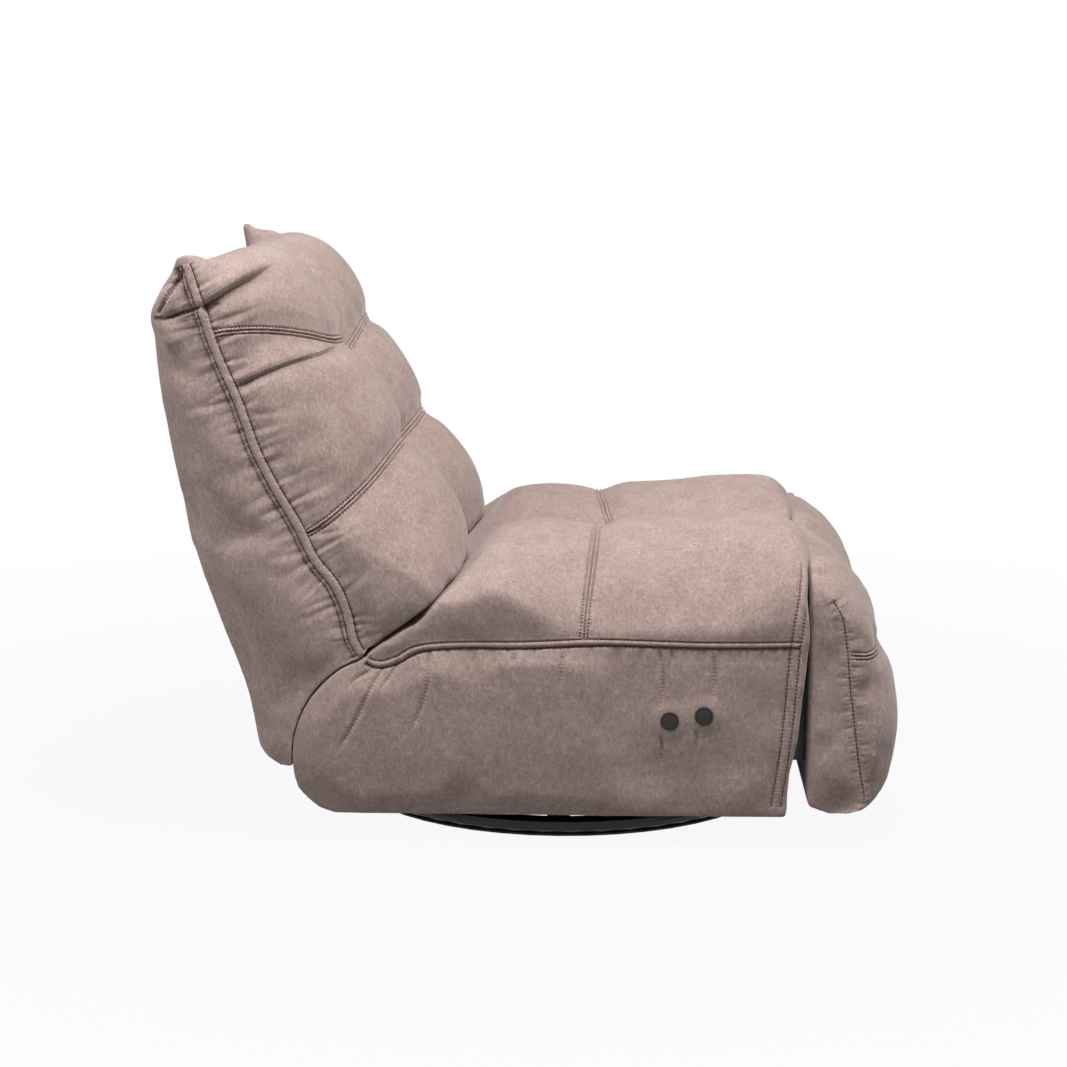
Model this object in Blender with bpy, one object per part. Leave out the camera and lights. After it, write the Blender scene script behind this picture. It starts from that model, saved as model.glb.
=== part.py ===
"""Armless power recliner with a swivel ring base.

The chair faces -Y, with +Z up and the sitter's right hand at -X.  The origin is
at floor level, under the middle of the closed chair's length and width.
Everything is modelled about the swivel axis, and the whole chair is moved to the
origin at the end.  All sizes are in metres.  A point of the side view is a pair
(y, z), with y rising towards the rear.
"""

import math

import bmesh
import bpy
from mathutils import Matrix, Vector

# Gaps between pieces
GAP = 0.0003              # between two pieces that touch
RUNNING_GAP = 0.0003      # radial, round a pin in a link
KNUCKLE_GAP = 0.0012      # between the back and the round rear end of the seat
COVER_GAP = 0.0010        # between two covers that press on each other
OVERRUN = 0.006           # how far a cutter passes through

# Overall
WIDTH = 0.800             # over the side covers
COVER_REAR = 0.578        # rearmost point of the back, behind the swivel axis
COVER_FRONT = 0.500       # foremost point of the closed footrest, before the axis

# Swivel base
RING_RADIUS = 0.332       # to the middle of the ring's tube
RING_TUBE = 0.026         # tube diameter
RING_STEPS = 48
TUBE_STEPS = 12
GLIDE_THICK = 0.003       # rubber strip under the ring
GLIDE_WIDTH = 0.014
ARM_WIDTH = 0.034
ARM_THICK = 0.018
HUB_RADIUS = 0.110
HUB_THICK = 0.005
RACE_RADIUS = 0.085       # to the middle of the bearing's race
RACE_WIDTH = 0.016
RACE_HEIGHT = 0.008
RACE_CHAMFER = 0.002
STUD_RADIUS = 0.009       # centre stud of the swivel
STUD_HOLE_GAP = 0.0004
NUT_RADIUS = 0.015
NUT_HEIGHT = 0.009
SWIVEL_PLATE = 0.260      # side of the square plate
SWIVEL_THICK = 0.005
SWIVEL_CORNER = 0.030

# Chassis rails
RAIL = 0.025              # rail height
RAIL_WIDTH = 0.030
RAIL_SPREAD = 0.240       # between the middles of the two long rails
RAIL_OVERHANG = 0.012     # of a long rail past a cross rail
FRONT_CROSS = -0.061      # y of the front cross rail
REAR_CROSS = 0.139        # y of the rear cross rail

# Layers of the mechanism, counted inwards from the side panel
SIDE_DEPTH = 0.068        # of the upholstered side, outside the side plate's face
PLATE_THICK = 0.004
LAYER_SPACE = 0.005       # washer space between plate and first layer
LINK_THICK = 0.005
LINK_SPACE = 0.004        # between the two layers of links
LINK_RADIUS = 0.010       # half width of a link bar
PIN_RADIUS = 0.005
PIN_HEAD = 0.0085
PIN_HEAD_THICK = 0.0025
HOLE_STEPS = 16

# Footrest linkage, in the side view: forward distance and height
REAR_PIVOT_Y = -0.200
REAR_PIVOT_Z = 0.259
REAR_CRANK = 0.140        # rear link, from its chassis pivot to the lower link
REAR_CRANK_ANGLE = 225.0  # degrees, counted from forwards to upwards
LOWER_REACH = 0.260       # lower link: forward distance between its end pins
LOWER_RISE = 0.170
FRONT_PIVOT_SHARE = 0.42  # place of the front link's pin along the lower link
PARALLEL_DROP = 0.055     # upper link's pins under the lower link's pins
PLATE_HUB = 0.018         # side plate's edge round the front pivot

# Footrest
BRACKET_WIDTH = 0.026
BRACKET_TOP = 0.012       # above the upper pin
BRACKET_LENGTH = 0.225
BOARD_THICK = 0.012
BOARD_INSET = 0.043       # of the board's ends inside the pad's
BOARD_LOW = 0.085
BOARD_HIGH = 0.412
PAD_SIDE = 0.012          # pad narrower than the seat, on each side
PAD_LOW = 0.044
PAD_HIGH = 0.446
PAD_WRAP = 0.0125         # the pad's sides reach this far behind the board's front
PAD_CROWN = 0.016
PAD_END_DROP = 0.020

# Torque tube and drive
TORQUE_RADIUS = 0.0125
CRANK = 0.080
CRANK_SPAN = 88.0         # degrees of travel from shut to open
CRANK_THICK = 0.004
CRANK_SPREAD = 0.020      # between the two ears
CRANK_PIN = 0.005
YOKE_THICK = 0.012
YOKE_SIDE = 0.011         # wall round the slot
YOKE_PLAY = 0.0027        # fore and aft play of the pin in the slot
ROD_RADIUS = 0.009
TUBE_RADIUS = 0.0165
TUBE_SPACE = 0.010        # between the shut yoke and the tube's mouth
ROD_IN_TUBE = 0.030       # of the rod still in the tube when the footrest is open
BOX_LENGTH = 0.056        # gearbox
BOX_HEIGHT = 0.058
BOX_WIDTH = 0.110
BOX_EDGE = 0.004
MOTOR_RADIUS = 0.026
MOTOR_LENGTH = 0.115
MOTOR_SIDE = 0.058        # motor's axis beside the rod's axis
INLET_RADIUS = 0.006
INLET_LENGTH = 0.012
POST_THICK = 0.006        # motor bracket
CONTROL_WIDTH = 0.100
CONTROL_DEPTH = 0.030
CONTROL_HEIGHT = 0.042
CONTROL_SIDE = 0.235

# Seat box
BOX_BOTTOM = 0.051
SIDE_BAND = 0.305         # height of the band between side cover and seat
SIDE_FRONT = 0.366        # front edge of the side cover, before the axis
SIDE_RAKE = 0.026         # how far that edge falls back at the bottom
SIDE_ROLL = 0.012
COVER_SET_IN = 0.0036     # the side cover's face behind the seat's side edge
SIDE_CORNER = 0.062       # radius of the lower rear corner
PANEL_THICK = 0.018
PANEL_INSET = 0.014
DECK_FRONT = 0.387        # height of the deck at the panels' front edge
DECK_REAR = 0.335         # and at the rear rail
BOARD_RAIL = 0.022        # timber rails: thickness
FRONT_RAIL_DEPTH = 0.036
REAR_RAIL_DEPTH = 0.040
REAR_RAIL_Y = 0.150
DUST_THICK = 0.0015
DUST_INSET = 0.022
DUST_HOLE_SIDE = 0.150    # half width of its opening round the long rails
DUST_HOLE_SPACE = 0.012   # opening past the ends of those rails

# Seat cushion
SEAT_RISE = 0.168         # crown over the band
CREASE_Y = 0.130          # where the crowns of seat and back meet
CREASE_Z = 0.405
SEAT_VALLEY = 0.17        # depth of the middle valley, as a share of the rise

# Springs
WIRE = 0.0036
SEAT_SPRINGS = 4
BACK_SPRINGS = 3
WAVE_WIDTH = 0.050
SEAT_WAVES = 8
BACK_WAVES = 8

# Buttons in the sitter's right side cover
BUTTON_RADIUS = 0.0115
CLOSE_BUTTON_Y = -0.164
CLOSE_BUTTON_Z = 0.193
OPEN_BUTTON_Y = -0.214
OPEN_BUTTON_Z = 0.201
BUTTON_DOME = 0.0032
BUTTON_DEPTH = 0.012
BUTTON_TRAVEL = 0.0020
BUTTON_SPACE = 0.0008     # under a pressed button
BUTTON_SET_IN = 0.0004    # the dome's top behind the seat's side edge
BEZEL_RADIUS = 0.0138
BEZEL_PROUD = 0.0006
SWITCH_CLEAR = 0.0004     # round a button in its bezel

# Back
BACK_PIVOT_Y = 0.229
BACK_PIVOT_Z = 0.130
KNUCKLE = 0.162           # radius of the seat's round rear end, about the pivot
BACK_FOOT_Y = 0.283       # lower end of the plane between back cushion and shell
BACK_FOOT_Z = 0.285
BACK_LEAN = 24.2          # degrees of that plane from upright
BACK_LENGTH = 0.620       # along that plane
BACK_CROWN = 0.200        # thickest place of the back cushion
BACK_BULK = 0.185         # thickest place of the shell
BACK_EDGE = 0.014         # thickness of the back cushion at its side
BACK_VALLEY = 0.24        # depth of the middle valley, as a share
BACK_ROLL = 0.016         # rounding of the shell's side edges
CROWN_SHARE = 0.4875      # middle of one half of seat or back, as a share of its reach
STOP_RADIUS = 0.058       # stop stud from the back's pivot
STOP_ANGLE = 115.0        # degrees, at rest
STOP_TRAVEL = 35.0        # degrees of recline
IRON_WIDTH = 0.030
IRON_LENGTH = 0.400
HUB_PLATE_RADIUS = 0.070  # side plate round the back's pivot
BACK_POST = 0.022
BACK_POST_DEPTH = 0.042
BACK_POST_LOW = 0.035
BACK_POST_HIGH = 0.560
BACK_RAIL = 0.045
POCKET_WALL = 0.026       # foam left behind the pocket at its top
POCKET_DEPTH = 0.118      # pocket at its foot
POCKET_SIDE = 0.0465      # foam at the pocket's sides
IRON_SLOT = 0.003         # play of a back iron in the shell's slot

# Outlines as shares: along the piece, and of its rise
SEAT_CROWN_SHARES = (
    (0.00, 0.60), (0.03, 0.74), (0.08, 0.86), (0.16, 0.95), (0.26, 1.00), (0.36, 0.995),
    (0.46, 0.95), (0.55, 0.885), (0.615, 0.845), (0.66, 0.868), (0.74, 0.875),
    (0.84, 0.835), (0.92, 0.745), (1.00, 0.60),
)
BACK_CROWN_SHARES = (
    (0.075, 0.94), (0.124, 0.995), (0.181, 1.02), (0.241, 1.00), (0.315, 0.905),
    (0.403, 0.755), (0.44, 0.79), (0.518, 0.80), (0.61, 0.765), (0.693, 0.665),
    (0.73, 0.715), (0.78, 0.72), (0.85, 0.665), (0.916, 0.57), (0.964, 0.40),
    (0.995, 0.20), (1.00, 0.0),
)
BACK_REAR_SHARES = (
    (1.012, 0.04), (0.975, -0.16), (0.925, -0.355), (0.784, -0.532), (0.649, -0.67),
    (0.509, -0.791), (0.367, -0.905), (0.190, -0.953), (0.031, -0.96),
    (-0.058, -0.982), (-0.125, -1.00),
)
PAD_FRONT_SHARES = (
    (0.00, 1.00), (0.20, 0.985), (0.38, 0.95), (0.61, 0.87), (0.77, 0.74), (0.84, 0.62),
    (0.90, 0.54), (0.98, 0.44), (1.00, 0.34), (0.95, 0.225), (0.83, 0.10), (0.69, 0.03),
    (0.57, 0.00), (0.28, 0.01), (0.06, 0.04),
)

STATION_SHARES = (0.0, 0.04, 0.14, 0.30, 0.52, 0.70, 0.83, 0.92, 0.975, 1.0)
EDGE_SHARES = (0.5, 0.85, 1.0)
SPRING_TIE_SHARES = (0.35, 0.65)
WAVE_SHARES = (0.35, 0.65)

# Colours, each with its roughness and metallic value
FINISHES = {
    "suede": ((0.345, 0.280, 0.245), 0.85, 0.0),
    "black_steel": ((0.012, 0.012, 0.013), 0.38, 0.6),
    "zinc": ((0.55, 0.56, 0.57), 0.35, 1.0),
    "plywood": ((0.56, 0.40, 0.24), 0.70, 0.0),
    "timber": ((0.50, 0.34, 0.19), 0.75, 0.0),
    "spring_steel": ((0.25, 0.26, 0.27), 0.40, 1.0),
    "black_plastic": ((0.020, 0.020, 0.022), 0.45, 0.0),
    "button_plastic": ((0.035, 0.022, 0.020), 0.12, 0.0),
    "rubber": ((0.030, 0.030, 0.030), 0.80, 0.0),
    "dust_cloth": ((0.015, 0.015, 0.016), 0.95, 0.0),
}

SIDES = (("right", -1), ("left", 1))

# Places worked out from the sizes
rear_pivot = (REAR_PIVOT_Y, REAR_PIVOT_Z)
back_pivot = (BACK_PIVOT_Y, BACK_PIVOT_Z)
back_foot = (BACK_FOOT_Y, BACK_FOOT_Z)
crease = (CREASE_Y, CREASE_Z)
button_places = ((CLOSE_BUTTON_Y, CLOSE_BUTTON_Z), (OPEN_BUTTON_Y, OPEN_BUTTON_Z))
swivel_y = -(COVER_REAR - COVER_FRONT) / 2
ring_z = GLIDE_THICK + GAP + RING_TUBE / 2
arm_top = ring_z + ARM_THICK / 2
hub_low = arm_top + GAP
hub_top = hub_low + HUB_THICK
race_low = hub_top + GAP
race_top = race_low + RACE_HEIGHT
swivel_low = race_top + GAP
swivel_top = swivel_low + SWIVEL_THICK
long_low = swivel_top + GAP
long_top = long_low + RAIL
cross_low = long_top + GAP
cross_top = cross_low + RAIL

plate_face = WIDTH / 2 - SIDE_DEPTH
plate_in = plate_face - PLATE_THICK
outer_face = plate_in - LAYER_SPACE
outer_in = outer_face - LINK_THICK
inner_face = outer_in - LINK_SPACE
inner_in = inner_face - LINK_THICK
panel_in = plate_face + GAP
panel_out = panel_in + PANEL_THICK
pad_in = panel_out + GAP
pad_out = WIDTH / 2
cover_out = pad_out - COVER_SET_IN


def turned_point(centre, radius, degrees):
    """Point (y, z) at an angle counted from forwards (-Y) to upwards."""
    angle = math.radians(degrees)
    return (centre[0] - radius * math.cos(angle), centre[1] + radius * math.sin(angle))


def shifted(point, forward, up):
    return (point[0] - forward, point[1] + up)


lower_rear = turned_point(rear_pivot, REAR_CRANK, REAR_CRANK_ANGLE)
lower_front = shifted(lower_rear, LOWER_REACH, LOWER_RISE)
upper_rear = shifted(lower_rear, 0, -PARALLEL_DROP)
upper_front = shifted(lower_front, 0, -PARALLEL_DROP)
front_reach = LOWER_REACH * FRONT_PIVOT_SHARE
front_rise = LOWER_RISE * FRONT_PIVOT_SHARE
front_pivot = shifted(rear_pivot, front_reach, front_rise)
front_pin = shifted(lower_rear, front_reach, front_rise)
board_rear = lower_front[0] - BRACKET_WIDTH / 2 - GAP
board_front = board_rear - BOARD_THICK
crank_middle = 270.0
crank_pin = turned_point(rear_pivot, CRANK, crank_middle - CRANK_SPAN / 2)
crank_low = turned_point(rear_pivot, CRANK, crank_middle)
rod_z = (crank_pin[1] + crank_low[1]) / 2
stroke = 2 * CRANK * math.sin(math.radians(CRANK_SPAN / 2))


def deck_height(y):
    """Height of the sloping deck that the seat cushion lies on."""
    front = -(SIDE_FRONT - PANEL_INSET)
    share = (y - front) / (REAR_RAIL_Y - front)
    return DECK_FRONT + (DECK_REAR - DECK_FRONT) * share


def back_point(along, normal):
    """Point (y, z) from its place along and in front of the back's plane."""
    lean = math.radians(BACK_LEAN)
    return (
        back_foot[0] + along * math.sin(lean) - normal * math.cos(lean),
        back_foot[1] + along * math.cos(lean) + normal * math.sin(lean),
    )


def arc(centre, radius, start, end, steps):
    """Points on an arc; the angles are counted from the rear (+Y) to upwards."""
    points = []
    for step in range(steps + 1):
        angle = math.radians(start + (end - start) * step / steps)
        points.append((centre[0] + radius * math.cos(angle),
                       centre[1] + radius * math.sin(angle)))
    return points


def hull(circles, steps=16):
    """Outline stretched round circles, each given as (centre, radius)."""
    points = []
    for centre, radius in circles:
        points += arc(centre, radius, 0, 360 - 360 / steps, steps - 1)
    points = sorted(set(points))
    halves = []
    for ordered in (points, points[::-1]):
        chain = []
        for point in ordered:
            while len(chain) > 1 and turn(chain[-2], chain[-1], point) <= 0:
                chain.pop()
            chain.append(point)
        halves += chain[:-1]
    return halves


def turn(a, b, c):
    return (b[0] - a[0]) * (c[1] - a[1]) - (b[1] - a[1]) * (c[0] - a[0])


# Scene and naming

def clear_scene():
    for obj in list(bpy.data.objects):
        bpy.data.objects.remove(obj, do_unlink=True)


def make_collection(name):
    collection = bpy.data.collections.new(name)
    bpy.context.scene.collection.children.link(collection)
    return collection


def finish_material(name):
    material = bpy.data.materials.get(name)
    if material is None:
        colour, roughness, metallic = FINISHES[name]
        material = bpy.data.materials.new(name)
        material.use_nodes = True
        shader = material.node_tree.nodes["Principled BSDF"]
        shader.inputs["Base Color"].default_value = (*colour, 1.0)
        shader.inputs["Roughness"].default_value = roughness
        shader.inputs["Metallic"].default_value = metallic
        material.diffuse_color = (*colour, 1.0)
    return material


def add_object(name, data, finish):
    obj = bpy.data.objects.new(name, data)
    parts.objects.link(obj)
    data.materials.append(finish_material(finish))
    return obj


def add_mesh(name, bm, finish, sharp=35.0):
    """Object from a bmesh, its normals out and its round sides smooth."""
    bmesh.ops.recalc_face_normals(bm, faces=bm.faces)
    mesh = bpy.data.meshes.new(name)
    bm.to_mesh(mesh)
    bm.free()
    mesh.shade_smooth()
    mesh.set_sharp_from_angle(angle=math.radians(sharp))
    return add_object(name, mesh, finish)


def add_empty(name, y, z, parent):
    empty = bpy.data.objects.new(name, None)
    parts.objects.link(empty)
    empty.location = (0, y, z)
    bpy.context.view_layer.update()
    if parent is not None:
        hang(empty, parent)
    return empty


def hang(obj, parent):
    """Parent an object without moving it."""
    obj.parent = parent
    obj.matrix_parent_inverse = parent.matrix_world.inverted()
    bpy.context.view_layer.update()


# Shapes

def box_into(bm, low, high):
    size = Vector(high) - Vector(low)
    middle = (Vector(high) + Vector(low)) / 2
    matrix = Matrix.Translation(middle) @ Matrix.Diagonal((*size, 1.0))
    return bmesh.ops.create_cube(bm, size=1.0, matrix=matrix)["verts"]


def block(name, low, high, finish, edge=0):
    bm = bmesh.new()
    box_into(bm, low, high)
    if edge:
        bmesh.ops.bevel(bm, geom=list(bm.edges), offset=edge, segments=2,
                        profile=0.5, affect="EDGES")
    return add_mesh(name, bm, finish)


def round_hole(centre, radius):
    return arc(centre, radius, 0, 360 - 360 / HOLE_STEPS, HOLE_STEPS - 1)


def plate(name, outline, x_low, x_high, finish, holes=()):
    """Flat piece in the side view, as a filled curve with its holes' outlines."""
    curve = bpy.data.curves.new(name, "CURVE")
    curve.dimensions = "2D"
    curve.fill_mode = "BOTH"
    curve.extrude = (x_high - x_low) / 2
    for loop in [outline, *holes]:
        spline = curve.splines.new("POLY")
        spline.points.add(len(loop) - 1)
        for point, (y, z) in zip(spline.points, loop):
            point.co = (y, z, 0, 1)
        spline.use_cyclic_u = True
    obj = add_object(name, curve, finish)
    obj.location.x = (x_low + x_high) / 2
    obj.rotation_euler = (math.pi / 2, 0, math.pi / 2)
    return obj


def as_mesh(obj):
    """Replace a curve object by a welded mesh, as a Boolean needs."""
    bpy.context.view_layer.update()
    graph = bpy.context.evaluated_depsgraph_get()
    mesh = bpy.data.meshes.new_from_object(obj.evaluated_get(graph))
    bm = bmesh.new()
    bm.from_mesh(mesh)
    bmesh.ops.remove_doubles(bm, verts=bm.verts, dist=GAP / 10)
    bmesh.ops.recalc_face_normals(bm, faces=bm.faces)
    bm.to_mesh(mesh)
    bm.free()
    name = obj.name
    matrix = obj.matrix_world.copy()
    bpy.data.objects.remove(obj, do_unlink=True)
    solid = bpy.data.objects.new(name, mesh)
    parts.objects.link(solid)
    solid.matrix_world = matrix
    return solid


def side_plate(name, side, outline, x_low, x_high, finish, holes=()):
    """The same, for one side of the chair."""
    ends = sorted((side * x_low, side * x_high))
    return plate(name, outline, ends[0], ends[1], finish, holes)


def lathe_into(bm, profile, steps, matrix):
    """Spin a profile of (radius, height) points that starts and ends on +Z."""
    verts = [bm.verts.new((radius, 0, height)) for radius, height in profile]
    edges = [bm.edges.new(pair) for pair in zip(verts, verts[1:])]
    made = bmesh.ops.spin(bm, geom=verts + edges, axis=(0, 0, 1), cent=(0, 0, 0),
                          angle=2 * math.pi, steps=steps, use_duplicate=False)
    grown = set(verts)
    walk = [v for v in made["geom_last"] if isinstance(v, bmesh.types.BMVert)]
    grown.update(walk)
    stack = list(grown)
    while stack:
        vert = stack.pop()
        for edge in vert.link_edges:
            other = edge.other_vert(vert)
            if other not in grown:
                grown.add(other)
                stack.append(other)
    bmesh.ops.remove_doubles(bm, verts=list(grown), dist=GAP / 10)
    kept = [vert for vert in grown if vert.is_valid]
    bmesh.ops.transform(bm, matrix=matrix, verts=kept)


def lathe(name, profile, steps, matrix, finish):
    bm = bmesh.new()
    lathe_into(bm, profile, steps, matrix)
    return add_mesh(name, bm, finish)


def along_x(x, y, z):
    """Matrix that lays a turned piece's axis along X, from this place."""
    return Matrix.Translation((x, y, z)) @ Matrix.Rotation(math.pi / 2, 4, "Y")


def drum(radius, length):
    return [(0, 0), (radius, 0), (radius, length), (0, length)]


def loft(name, rings, finish, sharp=60.0):
    """Solid through closed rings of points, with a flat cap at both ends."""
    bm = bmesh.new()
    loops = [[bm.verts.new(point) for point in ring] for ring in rings]
    for near, far in zip(loops, loops[1:]):
        for index in range(len(near)):
            after = (index + 1) % len(near)
            bm.faces.new((near[index], near[after], far[after], far[index]))
    bm.faces.new(loops[0][::-1])
    bm.faces.new(loops[-1])
    return add_mesh(name, bm, finish, sharp)


def cutter(name, outline, x_low, x_high):
    """Prism in the side view that a Boolean takes away."""
    bm = bmesh.new()
    face = bm.faces.new([bm.verts.new((x_low, y, z)) for y, z in outline])
    grown = bmesh.ops.extrude_face_region(bm, geom=[face])["geom"]
    moved = [item for item in grown if isinstance(item, bmesh.types.BMVert)]
    bmesh.ops.translate(bm, verts=moved, vec=(x_high - x_low, 0, 0))
    return helper(name, bm)


def cut(obj, tool, operation="DIFFERENCE"):
    modifier = obj.modifiers.new(tool.name, "BOOLEAN")
    modifier.operation = operation
    modifier.solver = "EXACT"
    modifier.object = tool


def helper(name, bm):
    """Closed shape that only serves a Boolean."""
    bmesh.ops.recalc_face_normals(bm, faces=bm.faces)
    mesh = bpy.data.meshes.new(name)
    bm.to_mesh(mesh)
    bm.free()
    obj = bpy.data.objects.new(name, mesh)
    cutters.objects.link(obj)
    obj.hide_render = True
    obj.display_type = "WIRE"
    return obj


def weld_on(obj, name, profile, matrix, steps=HOLE_STEPS):
    """Fuse a turned piece, such as a stud, to the piece that carries it."""
    bm = bmesh.new()
    lathe_into(bm, profile, steps, matrix)
    cut(obj, helper(name, bm), "UNION")


def spring_line(name, start, end, waves):
    """One sinuous spring: a wire that waves across X between two rails."""
    curve = bpy.data.curves.new(name, "CURVE")
    curve.dimensions = "3D"
    curve.bevel_depth = WIRE / 2
    curve.bevel_resolution = 1
    curve.use_fill_caps = True
    start = Vector(start)
    run = Vector(end) - start
    points = [start, start + run / (waves + 2)]
    for wave in range(waves):
        swing = Vector((WAVE_WIDTH / 2 * (1 if wave % 2 else -1), 0, 0))
        for share in WAVE_SHARES:
            points.append(start + run * (wave + 1 + share) / (waves + 2) + swing)
    points += [start + run * (waves + 1) / (waves + 2), start + run]
    spline = curve.splines.new("POLY")
    spline.points.add(len(points) - 1)
    for point, place in zip(spline.points, points):
        point.co = (*place, 1)
    return as_mesh(add_object(name, curve, "spring_steel"))


def spring_deck(name, count, spread, start, end, waves):
    """Sinuous springs side by side, tied by two straight wires across them."""
    lines = []
    for index in range(count):
        x = (index - (count - 1) / 2) * spread
        line_name = name if not index else "%s_%d" % (name, index)
        lines.append(spring_line(line_name, (x, *start), (x, *end), waves))
    deck = lines[0]
    for line in lines[1:]:
        parts.objects.unlink(line)
        cutters.objects.link(line)
        line.hide_render = True
        line.display_type = "WIRE"
        cut(deck, line, "UNION")
    reach = (count - 1) / 2 * spread + WAVE_WIDTH / 2
    for number, share in enumerate(SPRING_TIE_SHARES):
        y = start[0] + (end[0] - start[0]) * share
        z = start[1] + (end[1] - start[1]) * share
        bm = bmesh.new()
        lathe_into(bm, drum(WIRE / 3, 2 * reach), 8, along_x(-reach, y, z))
        cut(deck, helper("%s_tie_%d" % (name, number), bm), "UNION")
    return deck


# Swivel base

def make_base():
    bpy.ops.mesh.primitive_torus_add(
        major_radius=RING_RADIUS, minor_radius=RING_TUBE / 2,
        major_segments=RING_STEPS, minor_segments=TUBE_STEPS, location=(0, 0, ring_z))
    ring = bpy.context.object
    ring.rotation_euler.z = math.pi / RING_STEPS
    ring.name = "base_ring"
    ring.data.name = "base_ring"
    for collection in list(ring.users_collection):
        collection.objects.unlink(ring)
    parts.objects.link(ring)
    ring.data.materials.append(finish_material("black_steel"))
    ring.data.shade_smooth()

    half = ARM_WIDTH / 2
    flat = (RING_RADIUS - RING_TUBE / 2) * math.cos(math.pi / RING_STEPS) - GAP
    plus = []
    for quarter in range(4):
        angle = quarter * math.pi / 2
        for x, y in ((half, half), (flat, half), (flat, -half)):
            turned = Vector((x, y, 0))
            turned.rotate(Matrix.Rotation(angle, 3, "Z"))
            plus.append(turned)
    bm = bmesh.new()
    order = []
    for quarter in range(4):
        inner, upper, lower = plus[3 * quarter:3 * quarter + 3]
        order += [lower, upper, inner]
    face = bm.faces.new([bm.verts.new((v.x, v.y, ring_z - ARM_THICK / 2)) for v in order])
    grown = bmesh.ops.extrude_face_region(bm, geom=[face])["geom"]
    moved = [item for item in grown if isinstance(item, bmesh.types.BMVert)]
    bmesh.ops.translate(bm, verts=moved, vec=(0, 0, ARM_THICK))
    arms = add_mesh("base_arms", bm, "black_steel")

    floor = Matrix.Identity(4)
    near = RING_RADIUS - GLIDE_WIDTH / 2
    far = RING_RADIUS + GLIDE_WIDTH / 2
    glides = lathe("floor_glide", [(near, 0), (far, 0), (far, GLIDE_THICK),
                                   (near, GLIDE_THICK), (near, 0)],
                   RING_STEPS, floor, "rubber")
    nut_low = swivel_top + GAP
    hub = lathe("hub_plate", [
        (0, hub_low), (HUB_RADIUS, hub_low), (HUB_RADIUS, hub_top), (STUD_RADIUS, hub_top),
        (STUD_RADIUS, nut_low), (NUT_RADIUS, nut_low), (NUT_RADIUS, nut_low + NUT_HEIGHT),
        (0, nut_low + NUT_HEIGHT),
    ], 40, floor, "black_steel")
    inside = RACE_RADIUS - RACE_WIDTH / 2
    outside = RACE_RADIUS + RACE_WIDTH / 2
    edge = RACE_CHAMFER
    race = lathe("swivel_bearing", [
        (inside + edge, race_low), (outside - edge, race_low), (outside, race_low + edge),
        (outside, race_top - edge), (outside - edge, race_top), (inside + edge, race_top),
        (inside, race_top - edge), (inside, race_low + edge), (inside + edge, race_low),
    ], 36, floor, "zinc")
    return [ring, arms, glides, hub, race]


# Chassis: swivel plate, rails, side plates and their studs

def flat_outline(name, loops, z_low, thick, finish):
    """Flat piece seen from above, as a filled curve."""
    curve = bpy.data.curves.new(name, "CURVE")
    curve.dimensions = "2D"
    curve.fill_mode = "BOTH"
    curve.extrude = thick / 2
    for loop in loops:
        spline = curve.splines.new("POLY")
        spline.points.add(len(loop) - 1)
        for point, (x, y) in zip(spline.points, loop):
            point.co = (x, y, 0, 1)
        spline.use_cyclic_u = True
    obj = add_object(name, curve, finish)
    obj.location.z = z_low + thick / 2
    return obj


def rectangle(half_x, y_low, y_high, corner=0):
    if not corner:
        return [(-half_x, y_low), (half_x, y_low), (half_x, y_high), (-half_x, y_high)]
    inner = half_x - corner
    points = []
    for x, y, start in ((inner, y_low + corner, -90), (inner, y_high - corner, 0),
                        (-inner, y_high - corner, 90), (-inner, y_low + corner, 180)):
        points += arc((x, y), corner, start, start + 90, 4)
    return points


def make_chassis():
    pieces = []
    half = SWIVEL_PLATE / 2
    hole = arc((0, 0), STUD_RADIUS + STUD_HOLE_GAP, 0, 360 - 360 / 24, 23)
    pieces.append(flat_outline("swivel_plate", [rectangle(half, -half, half, SWIVEL_CORNER),
                                                hole],
                               swivel_low, SWIVEL_THICK, "black_steel"))
    low_y = FRONT_CROSS - RAIL_WIDTH / 2 - RAIL_OVERHANG
    high_y = REAR_CROSS + RAIL_WIDTH / 2 + RAIL_OVERHANG
    for name, side in SIDES:
        x = side * RAIL_SPREAD / 2
        pieces.append(block("long_rail_" + name, (x - RAIL_WIDTH / 2, low_y, long_low),
                            (x + RAIL_WIDTH / 2, high_y, long_top), "black_steel"))
    reach = plate_in - GAP
    for name, y in (("front_cross_rail", FRONT_CROSS), ("rear_cross_rail", REAR_CROSS)):
        pieces.append(block(name, (-reach, y - RAIL_WIDTH / 2, cross_low),
                            (reach, y + RAIL_WIDTH / 2, cross_top), "black_steel"))

    seat = RAIL_WIDTH / 2
    middle = cross_low + RAIL / 2
    circles = [(back_pivot, HUB_PLATE_RADIUS), (front_pivot, PLATE_HUB),
               ((FRONT_CROSS, middle), seat), ((REAR_CROSS, middle), seat)]
    outline = hull(circles, 24)
    for name, side in SIDES:
        sheet = as_mesh(side_plate("side_plate_" + name, side, outline, plate_in, plate_face,
                                   "black_steel", [stop_slot(PIN_RADIUS + RUNNING_GAP)]))
        for number, place in enumerate((rear_pivot, front_pivot, back_pivot)):
            start = inner_face if place == rear_pivot else outer_in - GAP - PIN_HEAD_THICK
            profile = stud(start, outer_in - GAP, outer_face + GAP, plate_in, PLATE_THICK,
                           place != rear_pivot)
            weld_on(sheet, "stud_%s_%d" % (name, number), profile,
                    side_matrix(side, side * start, *place))
        pieces.append(sheet)
    return pieces


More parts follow.
